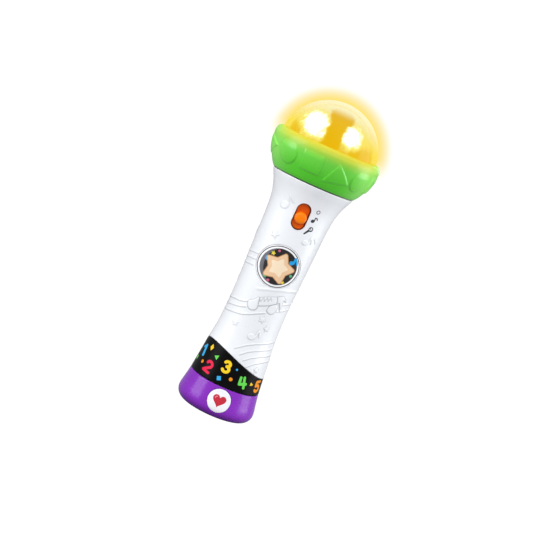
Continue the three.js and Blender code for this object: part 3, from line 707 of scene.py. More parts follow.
def lit_diffuser():
    """Frosted layer painted with the lamps' light: each lamp's glow is painted as emission centred
    on the lamp from any viewpoint, with painted shade of the column between them.
    """
    incoming = node("NewGeometry", out="Incoming")
    wobble = vector("SUBTRACT", noise(scale=230.0, rough=0.6, out="Color"), (0.5, 0.5, 0.5))
    # place shifted at random: widely for the glows, a little for the column
    glow_place = vector("ADD", place, vector("MULTIPLY", wobble, (0.009, 0.009, 0.009)))
    column_place = vector("ADD", place, vector("MULTIPLY", wobble, (0.0035, 0.0035, 0.0)))
    # horizontal distance of the view ray from the toy's axis
    flat_view = levelled(incoming)
    flat_place = vector("MULTIPLY", column_place, (1, 1, 0))
    from_axis = calc("ABSOLUTE", axis(2, vector("CROSS_PRODUCT", flat_place, flat_view)))
    z = axis(2)
    # the column widens at its cap
    cap = (ramp(axis(2, column_place), span=(0.1955, 0.1995))
           * ramp(z, span=(0.2046, 0.2018)))
    half_width = 0.0053 + cap * 0.0022
    column = (ramp(from_axis - half_width, span=(0.0013, -0.0011))
              * ramp(axis(2, column_place), span=(0.2060, 0.1995)))

    cores, halos, gaps = [], [], []
    for centre, radius in GLOWS:
        lamp = tuple(c * MM for c in centre)
        outward = tuple(c / 13.0 for c in centre[:2]) + (0.0,)
        to_lamp = vector("SUBTRACT", lamp, glow_place)
        from_ray = length(vector("CROSS_PRODUCT", to_lamp, incoming))
        lamp_side = dot(incoming, outward)
        # the column hides a lamp seen from the front, and more so from the other side
        clear = 1.0 - column
        seen = calc("MAXIMUM", clear, ramp(lamp_side, span=(0.35, 0.6)))
        seen = seen * calc("MAXIMUM", ramp(lamp_side, span=(-0.75, -0.45)), clear)
        cores.append(ramp(from_ray, span=((radius + 2.4) * MM, (radius - 1.8) * MM)) * seen)
        halos.append(ramp(from_ray, span=((radius + 9) * MM, (radius - 1) * MM)) * seen)
        gaps.append(from_ray - radius * MM)
    core = calc("MAXIMUM", *cores)
    halo = calc("MAXIMUM", *halos)
    gap = calc("MINIMUM", *gaps)

    edge = ramp(node("LayerWeight", {"Blend": 0.5}, "Facing"), span=(0.55, 1.0))
    streak = noise(scale=60.0, rough=0.6, stretch=(1, 1, 0.12))
    speckle = noise(scale=700.0, detail=2.0, rough=0.6)
    ribs = calc("SINE", calc("ARCTAN2", axis(0), axis(1)) * 120.0)
    # yellow streaks; painted highlight makes them paler towards the top and the edges
    colour = mix(ramp(streak, span=(0.35, 0.65)), (1.0, 0.82, 0.07, 1), (1.0, 0.94, 0.19, 1))
    colour = mix(ramp(z, span=(0.189, 0.206), to=(0.0, 0.95)), colour, (1.0, 0.98, 0.66, 1))
    edge_colour = mix(ramp(z, span=(0.186, 0.203)), (0.97, 0.76, 0.05, 1), (1.0, 0.97, 0.60, 1))
    colour = mix(edge * 0.5, colour, edge_colour)
    # painted shade: deeper amber low down, away from the lamps
    low = ramp(gap, span=(0.0012, 0.0060)) * ramp(axis(2, glow_place), span=(0.1945, 0.1845))
    colour = mix(low, colour, (0.88, 0.555, 0.004, 1))
    # painted glow round each lamp
    colour = mix(halo * (0.7 - low * 0.5), colour, (1.0, 0.87, 0.22, 1))
    dark = mix(ramp(z, span=(0.196, 0.203)), (0.86, 0.50, 0.0, 1), (0.82, 0.48, 0.015, 1))
    # painted shade of the column between the lamps
    colour = mix(column * 0.96, colour, dark)
    colour = mix(ramp(speckle, span=(0.35, 0.65), to=(0.0, 0.10)), colour, (0.80, 0.45, 0.0, 1))
    # painted shade of the ribs, stronger higher up
    rib_shade = ramp(ribs, span=(-0.2, 0.9)) * ramp(z, span=(0.186, 0.200), to=(0.06, 0.20))
    colour = mix(rib_shade, colour, (0.80, 0.47, 0.02, 1))
    # painted glow: near-white cores of the lamps, brighter emission there
    return emission(mix(core, colour, (1.0, 0.99, 0.93, 1)), 0.97 + core * 0.9)


def clear_amber():
    """Clear tinted dome with a painted glow along its edges and a faint surface reflection."""
    fine = noise(scale=60.0, detail=2.0)
    swirl = noise(scale=240.0, rough=0.6)
    facing = node("LayerWeight", {"Blend": 0.5}, "Facing")
    inward = node("NewGeometry", out="Backfacing")
    radius = length(vector("SUBTRACT", place, (0, 0, DOME_Z * MM)))
    skin = ramp(radius, span=((DOME_RADIUS - 1.1) * MM, (DOME_RADIUS - 0.6) * MM))
    outside = skin * (1.0 - inward)
    # painted glow: emission along the edges as the camera sees them, paler higher up
    rim = ramp(facing, span=(0.34, 0.68)) * outside
    tint = mix(ramp(fine), (1.0, 0.992, 0.93, 1), (1.0, 0.996, 0.955, 1))
    clear = node("BsdfTransparent", {"Color": tint})
    rim_colour = mix(ramp(axis(2), span=(0.184, 0.2065)), (0.97, 0.77, 0.045, 1),
                     (1.0, 0.95, 0.62, 1))
    glow = mix_shader(rim * 0.82, clear, emission(rim_colour, strength=0.97))
    gloss = node("BsdfGlossy", {"Roughness": ramp(swirl, to=(0.20, 0.28)),
                                "Color": (1.0, 0.98, 0.92, 1)})
    fresnel = node("Fresnel", {"IOR": 1.45})
    shine = calc("MINIMUM", fresnel * 0.35, 0.03) * outside
    black = node("BsdfDiffuse", {"Color": (0, 0, 0, 1)})
    return node("AddShader", {0: glow, 1: mix_shader(shine, black, gloss)})


def lit_lamp():
    grain = noise(scale=900.0, detail=2.0)
    return emission(mix(ramp(grain), (1.0, 0.9, 0.6, 1), (1.0, 0.97, 0.85, 1)), strength=8.0)


# the moulding flag paints shade in the grooves and the seam, and a highlight on the top rim
WHITE = dict(colour=(0.875, 0.89, 0.915, 1), coat=0.35, tone=0.012, grain=0.03, painted_moulding_light=True)
PRINTED = dict(coat=0.3, tone=0.01, grain=0.03)
# colours printed on the number band
BAND_INKS = {"blue": srgb(58, 172, 230), "red": srgb(232, 36, 76), "yellow": srgb(250, 208, 42),
             "green": srgb(104, 216, 84), "orange": srgb(245, 148, 26)}

mat_white_front = material("white_gloss_printed", plastic, inks=[("icons", srgb(52, 50, 62))],
                           **WHITE)
mat_white = material("white_gloss", plastic, **WHITE)
mat_column = material("white_satin", plastic, colour=(0.72, 0.70, 0.62, 1), rough=0.5,
                      tone=0.03, grain=0.1)
# the low colour is painted shade on the cup's lowest part
mat_violet = material("violet_gloss", plastic, colour=srgb(134, 38, 186), rough=0.25, coat=0.14,
                      tone=0.03, grain=0.04, low=srgb(108, 12, 156), spec=0.35)
mat_band = material("printed_band", plastic, colour=srgb(7, 7, 8), rough=0.34, tone=0.1,
                    grain=0.03, spec=0.1,
                    inks=[("ink_" + name, ink) for name, ink in BAND_INKS.items()])
# the grey layer of the label is a painted highlight
mat_label = material("printed_label", plastic, colour=srgb(248, 248, 250), **PRINTED, inks=[
    ("ink_key", srgb(40, 40, 46)), ("ink_border", srgb(248, 248, 250)),
    ("ink_ground", srgb(22, 22, 24)), ("ink_grey", srgb(98, 98, 104)),
    ("ink_blue", srgb(20, 160, 226)), ("ink_green", srgb(88, 178, 124)),
    ("ink_rose", srgb(206, 92, 120)), ("ink_edge", srgb(206, 150, 96)),
    ("ink_tan", srgb(240, 200, 158)), ("ink_light", srgb(252, 228, 196)),
    ("ink_yellow", srgb(238, 214, 60))])
mat_badge = material("printed_badge", plastic, colour=srgb(246, 246, 250), **PRINTED, inks=[
    ("ink_red", srgb(200, 26, 52)), ("ink_pale", srgb(240, 150, 160))])
mat_screw = material("zinc_screw", metal, colour=(0.72, 0.72, 0.73, 1), rough=0.26)
mat_nickel = material("nickel_spring", metal, colour=(0.80, 0.78, 0.73, 1), rough=0.22)
mat_case = material("plated_case", metal, colour=(0.74, 0.74, 0.74, 1), rough=0.3,
                    stretch=(6, 1, 1))
mat_board = material("solder_resist", plastic, colour=(0.03, 0.17, 0.07, 1), rough=0.4, coat=0.2,
                     tone=0.25, grain_scale=700.0)
mat_black = material("black_moulding", plastic, colour=(0.012, 0.012, 0.014, 1), rough=0.45)
mat_rubber = material("rubber_boot", plastic, colour=(0.02, 0.02, 0.022, 1), rough=0.75,
                      grain=0.4, grain_scale=900.0)
mat_wire_red = material("wire_red", plastic, colour=(0.55, 0.02, 0.02, 1), rough=0.42, tone=0.15)
mat_wire_black = material("wire_black", plastic, colour=(0.015, 0.015, 0.017, 1), rough=0.42)
mat_cone = material("coated_paper_cone", paper_cone)
mat_cloth = material("grille_cloth", cloth)
mat_cell = material("cell_wrap", cell_wrap)
mat_green = material("green_gloss", green_gloss)
mat_orange = material("orange_gloss", orange_gloss)
mat_diffuser = material("lit_diffuser", lit_diffuser)
mat_amber = material("amber_clear", clear_amber)
mat_led = material("lit_lamp", lit_lamp)

# ------------------------------------------------------------------ raised relief on the handle
RELIEF_RADIUS = 18.9  # one radius turns degrees into lengths for the whole relief
# All points are (degrees, height).
# Raised lines with a groove below: (darkness of the painted shade in the groove, points)
LINES = [
    (0.48, [(-128, 70.4), (-100, 70.6), (-84, 71.2), (-70, 71.9), (-57, 72.5), (-43, 72.9),
            (-32, 73.9), (-26.5, 75.0)]),
    (0.48, [(-128, 66.2), (-100, 66.3), (-84, 66.8), (-61, 68.1), (-43, 69.3), (-32, 70.3),
            (-25, 71.3)]),
    (0.48, [(-128, 62.4), (-100, 62.6), (-84, 63.1), (-61, 63.9), (-43, 64.9), (-27, 66.0),
            (-13.5, 67.9), (0, 70.3), (13.8, 72.4)]),
    (0.3, [(36, 75.4), (52, 77.0), (70, 78.2), (84, 79.0), (100, 79.6), (128, 80.0)]),
    (0.3, [(43, 80.6), (56, 81.5), (70, 82.0), (100, 83.7), (128, 84.4)]),
    (0.4, [(-12, 45.0), (-4, 47.2), (5, 49.6), (21.6, 52.3), (41.6, 54.2), (72, 56.2),
           (100, 56.6), (128, 56.2)]),
    (0.4, [(0.8, 42.8), (12.5, 46.2), (25.3, 48.2), (46.4, 50.0), (78, 51.7), (104, 51.9),
           (128, 51.4)]),
    (0.4, [(10, 40.2), (22.2, 43.3), (39, 45.3), (64.7, 46.9), (96, 47.4), (128, 46.9)]),
    (0.4, [(19.3, 37.0), (32.5, 40.3), (49, 42.2), (66.7, 43.2), (98, 43.4), (128, 42.6)]),
    (0.35, [(-128, 101.4), (-93, 102.4), (-45.8, 104.2)]),
    (0.35, [(-128, 97.6), (-93, 98.5), (-46.2, 100.3)]),
    (0.35, [(-128, 93.9), (-88.7, 94.9), (-46.6, 96.4)])]
CREST = [(-18.5, 84.3), (2.4, 86.7), (25, 88.9), (52, 90.2), (84, 90.7), (128, 90.8)]
# beamed pair of notes: head, beam, head and flag
NOTE_PAIR = [
    [(-26.0, 74.5), (-24.4, 72.3), (-19.2, 70.8), (-13.5, 70.6), (-7.8, 71.4), (-5.2, 72.8),
     (-5.4, 74.6), (-7.8, 80.0), (-11.2, 79.7), (-15.0, 77.8), (-19.0, 76.7), (-24.4, 75.8)],
    [(-7.8, 80.0), (5.8, 82.1), (22.4, 84.1), (26.7, 80.0), (13.8, 77.3), (4.7, 76.0),
     (-4.6, 74.7)],
    [(13.8, 73.9), (15.4, 76.8), (19.5, 78.1), (26.7, 79.5), (30.8, 78.9), (33.1, 77.7),
     (32.4, 75.2), (29.7, 73.5), (24.0, 72.5), (18.3, 72.8)],
    [(22.9, 84.2), (29.7, 85.2), (36.5, 85.5), (43.3, 84.2), (47.6, 82.4), (43.3, 82.9),
     (39.6, 83.2), (40.6, 75.9), (36.5, 78.5), (32.4, 81.0), (27.6, 80.1)]]
ZIGZAG = [(-7.0, 79.2), (-4.0, 77.4), (-0.8, 81.2), (2.4, 78.4), (5.6, 81.8), (8.8, 79.4),
          (11.5, 82.4), (14.5, 80.6)]
SHORT_GROOVE = [(43.0, 125.4), (46.5, 124.2), (49.0, 122.8)]
# (degrees, height, size, turn in degrees, darkness of the painted shade in the outline)
STARS = [(-31.7, 59.2, 2.5, 12, 0.16), (13.4, 67.6, 2.5, -14, 0.24), (29.4, 63.0, 2.2, 20, 0.3),
         (41, 36.4, 2.0, 8, 0.3), (-30.2, 119.4, 3.0, -10, 0.12), (-104, 84, 2.6, 10, 0.2),
         (100, 66, 2.6, -8, 0.2)]
NOTES = [(6.9, 55.4, 2.3, -14, 0.2), (-35.0, 138.2, 2.6, 4, 0.12), (26.0, 121.9, 1.9, -16, 0.14),
         (-105, 112, 2.3, 8, 0.2), (104, 118, 2.3, -8, 0.2)]


def relief(angle, z):
    """Height over the handle's surface, and the darkness of the painted shade in the grooves (0 to
    1).
    """
    x = RELIEF_RADIUS * angle
    height = np.zeros(np.shape(angle))
    cut = np.zeros(np.shape(angle))

    def flat(points):
        return [(RELIEF_RADIUS * math.radians(degrees), up) for degrees, up in points]

    def lift(distance, rise, start, end):
        np.maximum(height, rise * fade(distance, start, end), out=height)

    def groove(distance, depth, dark, start=-0.05, end=0.34):
        part = fade(distance, start, end)
        np.subtract(height, depth * part, out=height)
        np.maximum(cut, dark * part, out=cut)

    def outlined(distance, rise, depth, dark):
        lift(distance, rise, start=-0.32, end=0.05)
        groove(np.abs(distance - 0.12), depth, dark, start=0.08, end=0.36)

    for dark, points in LINES:
        lift(stroke(x, z, flat(points), 0.26), rise=0.24, start=-0.2, end=0.3)
        groove(stroke(x, z + 0.62, flat(points), 0.1), depth=0.20, dark=dark)
    lift(stroke(x, z, flat(CREST), 0.8), rise=0.28, start=-0.6, end=0.5)
    for points in NOTE_PAIR:
        outlined(polygon(x, z, flat(points)), rise=0.36, depth=0.26, dark=0.58)
    groove(stroke(x, z, flat(ZIGZAG), 0.1), depth=0.16, dark=0.45, end=0.3)

    def local(degrees, middle, turn):
        return rotated(x - RELIEF_RADIUS * math.radians(degrees), z - middle, turn)

    for degrees, middle, size, turn, dark in STARS:
        distance = polygon(*local(degrees, middle, turn), star(size, 0.5))
        outlined(distance, rise=0.36, depth=0.2, dark=dark)
    for degrees, middle, size, turn, dark in NOTES:
        distance = note(*local(degrees, middle, turn), tall=size * 2.5, head=size)
        outlined(distance, rise=0.38, depth=0.2, dark=dark)
    groove(stroke(x, z, flat(SHORT_GROOVE), 0.12), depth=0.2, dark=0.6)
    return height, cut


# ------------------------------------------------------------------ handle shells
WALL = 1.35
GRAPHIC_DEPTH = 0.5  # recess for the band, label and badge


def stations(*runs):
    """Rising stations from (start, end, spacing) runs joined end to end."""
    out = [runs[0][0]]
    for start, end, spacing in runs:
        count = max(1, int(round((end - start) / spacing)))
        out += [start + (end - start) * (k + 1) / count for k in range(count)]
    return np.array(out)


def angle_stations(*runs):
    """The same in degrees, returned in radians."""
    return stations(*[[math.radians(value) for value in run] for run in runs])


def handle_skin(angle, z):
    """Outer radius of the shells, rounded off along the parting line and the top rim."""
    from_parting = np.abs(np.abs(angle) - PI / 2) * 20
    soft = 0.22 * fade(np.minimum(from_parting, 156.0 - z), 0.0, 0.5)
    raised = relief(wrapped(angle), z)[0] * smoothstep(from_parting, 0.6, 1.6)
    return handle_radius(z) + raised - soft


def wedge(angles, heights):
    """Solid half of the handle: finely ruled skin closed by flat sides through the axis."""
    angle, z = np.meshgrid(angles, heights)
    skin = around_axis(angle, handle_skin(angle, z), z).reshape(-1, 3)
    points = np.concatenate([skin, [[0, 0, heights[0]], [0, 0, heights[-1]]]])
    low, high = len(skin), len(skin) + 1
    grid = np.arange(len(skin)).reshape(angle.shape)
    flats = [[*grid[0, ::-1], low], [*grid[-1], high],
             [*grid[:, 0], high, low], [*grid[::-1, -1], low, high]]
    return solid(points, [grid_faces(grid)] + [np.array([face]) for face in flats])


def band_recess():
    """Cutter for the number band's bed, with its wavy top."""
    bottom, inner, outer, count = 15, 10, 40, 900
    angles = np.linspace(-PI, PI, count, endpoint=False)
    top = wave_top(np.degrees(angles)) + 0.2
    corners = [(inner, bottom), (outer, bottom), (outer, top), (inner, top)]
    rows = [around_axis(angles, np.full(count, radius), z) for radius, z in corners]
    grid = np.arange(4 * count).reshape(4, count)
    ring = solid(np.concatenate(rows), [grid_faces(grid, wrap_rows=True, wrap_columns=True)])
    recess = sleeve(handle_radius, np.linspace(bottom, 50, 60), -GRAPHIC_DEPTH, 6, 180)
    boolean(recess, [ring], "INTERSECT")
    return recess


def shell(angles):
    heights = stations((20.1, 36, 0.9), (36, 92.4, 0.3), (92.4, 105.3, 0.3), (105.3, 115, 0.6),
                       (115, 147.3, 0.3), (147.3, 156, 0.6))
    made = wedge(angles, heights)
    hollow = [(0, 10.0), (float(handle_radius(19.8)) - WALL, 10.0)]
    hollow += outline(handle_radius, np.linspace(20.0, 156.2, 64), -WALL)
    hollow += [(float(handle_radius(156.2)) - WALL, 160.0), (0, 160.0)]
    boolean(made, [lathe(hollow, 200), band_recess()])
    return made


def join_shell_inside(piece, node):
    core = [(0, 4.0), (20.3, 4.0), (20.3, 20.0)]
    core += outline(handle_radius, np.linspace(20.2, 155.6, 60), -1.0) + [(0, 155.6)]
    join_cad_inside(piece, node, core, 200)


def paint_grooves(piece):
    angle, radius, _, _, z = vertex_places(piece)
    on_skin = (radius > handle_radius(np.clip(z, 20, 156)) - 0.6) & (z > 20) & (z < 156.5)
    # the grooves' darkness, stored for the materials as painted shade
    paint(piece, cut=relief(angle, z)[1] * on_skin)


def front_shell():
    made = shell(angle_stations((-89.7, -80, 1.6), (-80, 80, 0.9), (80, 89.7, 1.6)))
    recess = sleeve(handle_radius, np.linspace(84, 120, 50), -GRAPHIC_DEPTH, 6, 180)
    boolean(recess, [rod_y(13.9, 0, LABEL_Z, -40, -5, 96)], "INTERSECT")
    boolean(made, [recess])
    join_shell_inside(made, "front_shell")
    slot = stadium(SLOT_HALF_WIDTH, SLOT_HALF_LENGTH, 0, SWITCH_Z, steps=24)
    boolean(made, [prism_y(slot, -30, -12)])
    return made


def paint_icons(piece):
    """Icons beside the switch, from the top: ring, note, small microphone."""
    angle, radius, _, y, z = vertex_places(piece)
    ring = np.abs(disc(*on_handle(angle, z, 23.6, 142.3), 1.05)) - 0.24
    across, up = on_handle(angle, z, 22.6, 136.0, 8)
    stem = [(0.75, 0.1), (0.85, 2.4), (2.2, 2.0), (2.5, 1.1)]
    tune = np.minimum(np.hypot((across + 0.35) / 1.1, up) - 1.1, stroke(across, up, stem, 0.36))
    across, up = on_handle(angle, z, 24.9, 130.4)
    grip = [(-0.9, 0.2), (0.1, -0.8), (-2.6, -3.9), (-3.2, -3.5)]
    microphone = np.minimum(np.abs(disc(across, up, 1.25, (0.3, 0.4))) - 0.34,
                            polygon(across, up, grip) - 0.12)
    microphone = np.minimum(microphone, stroke(across, up, [(-0.5, 1.1), (1.1, -0.5)], 0.22))
    on_front = (radius > handle_radius(np.clip(z, 20, 156)) - 0.9) & (y < 0)
    icons = np.minimum(np.minimum(ring, tune), microphone)
    paint(piece, icons=icons + np.where(on_front, 0.0, 10.0))


def rear_openings(well_y, grille_y):
    """Screw wells and speaker slots, cut from the given depths out to the rear."""
    wells = [rod_y(2.9, x, z, well_y, 40) for _, x, z in SHELL_SCREWS]
    slots = [stadium(1.0, half, 0, SPEAKER_Z + up, 14, "x") for up, half in GRILLE_SLOTS]
    return wells + [prism_y(slot, grille_y, 40) for slot in slots]


def rear_shell():
    made = shell(angle_stations((90.3, 94, 1.2), (94, 131, 0.9), (131, 229, 2.0),
                                (229, 266, 0.9), (266, 269.7, 1.2)))
    half = DOOR_HALF_WIDTH + DOOR_GAP
    doorway = box(-half, half, 2, 40, DOOR_LOW - DOOR_GAP, DOOR_HIGH + DOOR_GAP)
    boolean(made, [doorway] + rear_openings(well_y=6, grille_y=13))
    join_shell_inside(made, "rear_shell")
    # again, now through the parts joined on
    boolean(made, rear_openings(well_y=3.2, grille_y=12.2))
    return made


front = front_shell()
rear = rear_shell()
paint_icons(front)
paint_grooves(front)
paint_grooves(rear)
finish(front, "front_shell", mat_white_front, sharp=34)
finish(rear, "rear_shell", mat_white, sharp=34)


# ------------------------------------------------------------------ battery door
def battery_door():
    heights = np.concatenate([[DOOR_LOW], np.linspace(DOOR_LOW + 0.2, DOOR_HIGH - 0.2, 190),
                              [DOOR_HIGH]])
    x, z = np.meshgrid(np.linspace(-DOOR_HALF_WIDTH, DOOR_HALF_WIDTH, 121), heights)
    from_edge = np.minimum(DOOR_HALF_WIDTH - np.abs(x), np.minimum(z - DOOR_LOW, DOOR_HIGH - z))
    outer = handle_radius(z) - 0.3 * fade(from_edge, 0, 0.5)
    # grip ribs near the upper end, shorter downwards
    for k in range(5):
        rib = np.maximum(np.abs(z - (99.5 - 2.2 * k)) - 0.45, np.abs(x) - (7.4 - 0.9 * k))
        outer = outer + 0.4 * fade(rib, -0.3, 0.3)
    door = slab(bent(x, outer, z, 1), bent(x, handle_radius(z) - 2.0, z, 1))
    bosses = [rod_y(4.1, 0, height, 14.3, float(handle_radius(height)) - 0.7, 64)
              for _, height in DOOR_SCREWS]
    boolean(door, bosses, "UNION")
    hole = [(0, 10), (1.5, 10), (1.5, 16.2), (2.85, 16.2), (2.85, 30), (0, 30)]
    cuts = [lathe(hole, 64, axis="y", centre=(0, height)) for _, height in DOOR_SCREWS]
    notch = stadium(0.8, 4.5, 0, DOOR_HIGH, 12, "x")
    cuts.append(prism_y(notch, float(handle_radius(DOOR_HIGH)) - 0.8, 40))
    boolean(door, cuts)
    return door


finish(battery_door(), "battery_door", mat_white, sharp=34, body="battery_door")

# ------------------------------------------------------------------ number band
# (digit, colour, degrees, height, turn, width)
DIGITS = [
    (1, "blue", -67.4, 34.3, 12, 1.3), (2, "red", -39.8, 27.3, -8, 1.1),
    (3, "yellow", -10.4, 32.4, 0, 1.1), (4, "green", 24.3, 26.9, 14, 0.98),
    (5, "orange", 59.6, 26.3, 5, 1.2), (1, "blue", 96, 26.0, 6, 1),
    (2, "red", 128, 27.5, -6, 1.1), (3, "yellow", 160, 27.2, 4, 1.1),
    (4, "green", -167, 30.2, -8, 1.1), (5, "orange", -134, 29.0, 6, 1.1)]
DIAMOND = [(0, 2.2), (1.6, 0), (0, -2.2), (-1.6, 0)]
# (colour, degrees, height, turn, corners, growth)
BAND_POLYGONS = [
    ("yellow", -51.8, 38.5, 4, DIAMOND, 0),
    ("green", -33.4, 34.9, 0, [(-1.8, 0.15), (1.1, 1.55), (0.6, -1.55)], 0.08),
    ("green", -81.0, 27.4, 10, square(1.2), 0),
    ("blue", -14.4, 24.1, 22, square(1.3), 0),
    ("yellow", 42.0, 27.3, 0, [(-0.85, 1.3), (1.75, -0.2), (-1.0, -1.05)], 0),
    ("orange", 112, 23.8, 15, square(1.3), 0),
    ("blue", 176, 24.2, 0, [(-1.3, -1.2), (1.4, -1.0), (0.1, 1.5)], 0),
    ("yellow", -116, 33.5, 4, DIAMOND, 0),
    ("red", -97, 31.0, 0, [(-1.4, -1.2), (1.5, -1.0), (0.1, 1.6)], 0)]
# (colour, degrees, height, radius)
BAND_DOTS = [
    ("orange", -56.7, 27.8, 1.1), ("blue", 6.8, 33.3, 0.7), ("orange", 3.4, 26.4, 1.15),
    ("green", 78.5, 23.4, 0.9), ("yellow", 144, 31.0, 1.1), ("red", -150, 24.6, 1.1),
    ("green", -112, 25.4, 1.2)]


def number_band():
    bottom = 20.2
    angle, part = np.meshgrid(np.linspace(-PI, PI, 660, endpoint=False), np.linspace(0, 1, 64))
    top = wave_top(np.degrees(angle))
    z = bottom + part * (top - bottom)
    outer = handle_radius(z) + 0.02 - 0.12 * fade(np.minimum(top - z, z - bottom), 0, 0.35)
    band = slab(around_axis(angle, outer, z), around_axis(angle, handle_radius(z) - 0.34, z),
                closed=True)

    angle, _, _, _, z = vertex_places(band)
    inks = {"ink_" + colour: np.full(len(z), 9.0) for colour in BAND_INKS}

    def put(colour, distance):
        inks["ink_" + colour] = np.minimum(inks["ink_" + colour], distance)

    for number, colour, degrees, height, turn, width in DIGITS:
        put(colour, digit(*on_handle(angle, z, degrees, height, turn), number, width))
    for colour, degrees, height, turn, corners, growth in BAND_POLYGONS:
        put(colour, polygon(*on_handle(angle, z, degrees, height, turn), corners) - growth)
    for colour, degrees, height, radius in BAND_DOTS:
        put(colour, disc(*on_handle(angle, z, degrees, height), radius))
    paint(band, **inks)
    return band


finish(number_band(), "number_band", mat_band, sharp=40)


# ------------------------------------------------------------------ round printed pieces
def round_patch(size, middle, curve, outer, inner, rings, spokes):
    """Thin disc of radius size on the front of a surface of revolution.

    outer and inner are the offsets of its two faces from the surface.
    """
    angles = np.linspace(0, 2 * PI, spokes, endpoint=False)
    angle, reach = np.meshgrid(angles, size * np.linspace(0, 1, rings + 1)[1:])
    x, z = reach * np.cos(angle), middle + reach * np.sin(angle)
    outside = curve(z) + outer - 0.1 * fade(size - reach, 0, 0.3)
    faces_points = [bent(x, radius, z, -1).reshape(-1, 3)
                    for radius in (outside, curve(z) + inner)]
    hubs = [[0, -(float(curve(middle)) + offset), middle] for offset in (outer, inner)]
    count = x.size
    top = np.arange(count).reshape(x.shape)
    under = top + count
    rim, under_rim = np.append(top[-1], top[-1][0]), np.append(under[-1], under[-1][0])
    faces = [grid_faces(top, wrap_columns=True), grid_faces(under, wrap_columns=True)[:, ::-1],
             np.stack([rim[:-1], rim[1:], under_rim[1:], under_rim[:-1]], -1),
             fan(2 * count, top[0]), fan(2 * count + 1, under[0], backwards=True)]
    return solid(np.concatenate([*faces_points, hubs]), faces)


def front_label():
    label = round_patch(13.6, LABEL_Z, handle_radius, outer=0.0, inner=-0.34, rings=70,
                        spokes=240)
    _, _, x, _, z = vertex_places(label)
    y = z - LABEL_Z
    ground = disc(x, y, 11.5)
    star_x, star_y = rotated(x - 0.3, y + 0.6, -8)
    big_star = polygon(star_x, star_y, star(8.7, 0.6))
    tune = note(*rotated(x - 6.6, y - 5.2, -2), tall=3.5, head=1.3) - 0.1
    paint(label,
          ink_key=disc(x, y, 13.15),
          ink_border=disc(x, y, 12.6),
          ink_ground=ground,
          # painted highlight: a grey crescent on the left of the dark ground, where the gloss
          # catches the light
          ink_grey=np.maximum(ground, -disc(x, y, 12.4, (3.2, 0.6))),
          ink_edge=big_star - 1.5,
          ink_tan=big_star - 1.0,
          ink_light=polygon(star_x + 0.2, star_y - 0.2, star(5.2, 0.6)) - 0.8,
          ink_blue=np.minimum(tune, disc(x, y, 1.5, (-8.2, 2.4))),
          ink_green=np.minimum(disc(x, y, 1.25, (-5.6, -8.0)), disc(x, y, 0.9, (9.4, -2.6))),
          ink_rose=np.minimum(disc(x, y, 0.9, (-2.6, -10.0)), disc(x, y, 0.8, (-3.4, 9.4))),
          ink_yellow=np.minimum(polygon(x + 6.2, y - 6.6, star(1.7, 0.45)),
                                polygon(x - 6.4, y + 8.2, star(1.4, 0.45))))
    return label


def base_badge():
    """A heart with a pale highlight."""
    badge = round_patch(7.3, BADGE_Z, cup_radius, outer=0.12, inner=-0.32, rings=44, spokes=160)
    _, _, x, _, z = vertex_places(badge)
    y = z - BADGE_Z - 0.3
    paint(badge, ink_red=polygon(x, y, heart(4.3)),
          ink_pale=stroke(x, y, arc(-1.7, 1.0, 1.15, 100, 190), 0.24))
    return badge


finish(front_label(), "front_label", mat_label, sharp=50)
finish(base_badge(), "base_badge", mat_badge, sharp=50)


# ------------------------------------------------------------------ base cup
def base_cup():
    heights = np.concatenate([np.linspace(0.0, 1.6, 9), np.linspace(2.0, 19.55, 56)])
    profile = [(0, 0.0), (20.4, 0.0)] + outline(cup_radius, heights)
    profile += [(23.0, 19.72), (22.8, 19.8), (21.1, 19.8), (20.9, 19.65), (20.9, 2.7),
                (20.6, 2.4), (0, 2.4)]
    cup = lathe(profile, 320)
    join_cad_inside(cup, "base_cup", [(0, 2.2), (20.4, 2.2), (20.4, 19), (0, 19)], 64)
    recess = sleeve(cup_radius, np.linspace(2, 19.7, 50), -GRAPHIC_DEPTH, 3, 240)
    boolean(recess, [rod_y(7.55, 0, BADGE_Z, -40, -15, 120)], "INTERSECT")
    well = [(0, -1), (3.25, -1), (3.0, 0.3), (3.0, 3.8), (1.35, 3.8), (1.35, 7), (0, 7)]
    boolean(cup, [recess] + [lathe(well, 64, centre=(0, y)) for y in (-12, 12)])
    return cup


finish(base_cup(), "base_cup", mat_violet, sharp=32)

# ------------------------------------------------------------------ collar
# two triangles take turns round the collar
COLLAR_TRIANGLES = ([(-6.9, -8.0), (9.9, -4.8), (-1.4, 5.7)],
                    [(6.4, 0.4), (-6.4, 6.6), (-7.0, -6.4)])


def collar_relief(angle, radius, z):
    """Raised circle, square and triangle, four times round the outside."""
    y = (z - SHAPE_Z) * 1.03
    height = np.zeros(radius.shape)
    for kind, first in (("circle", -44.8), ("square", -14.8), ("triangle", 15)):
        for k in range(4):
            offset = wrapped(angle - math.radians(first + 90 * k))
            x = 33.4 * offset
            rise = 0.62
            if kind == "circle":
                distance = disc(x, y, 7.5)
                rise = rise + 0.55 * np.clip(1 - (np.hypot(x, y) / 7.5) ** 2, 0, 1) * 0.6
            elif kind == "square":
                distance = polygon(x, y, square(6.2)) - 0.25
            else:
                distance = polygon(x, y, COLLAR_TRIANGLES[k % 2]) - 0.25
            raised = np.maximum(height, rise * fade(distance, -0.55, 0.25))
            height = np.where(np.abs(offset) < 0.42, raised, height)
    outside = (radius > 26.9) & (z > 157) & (z < 179.6)
    height = height * outside * fade(z, 171.8, 176.4)
    return radius + height, z - 0.2 * height


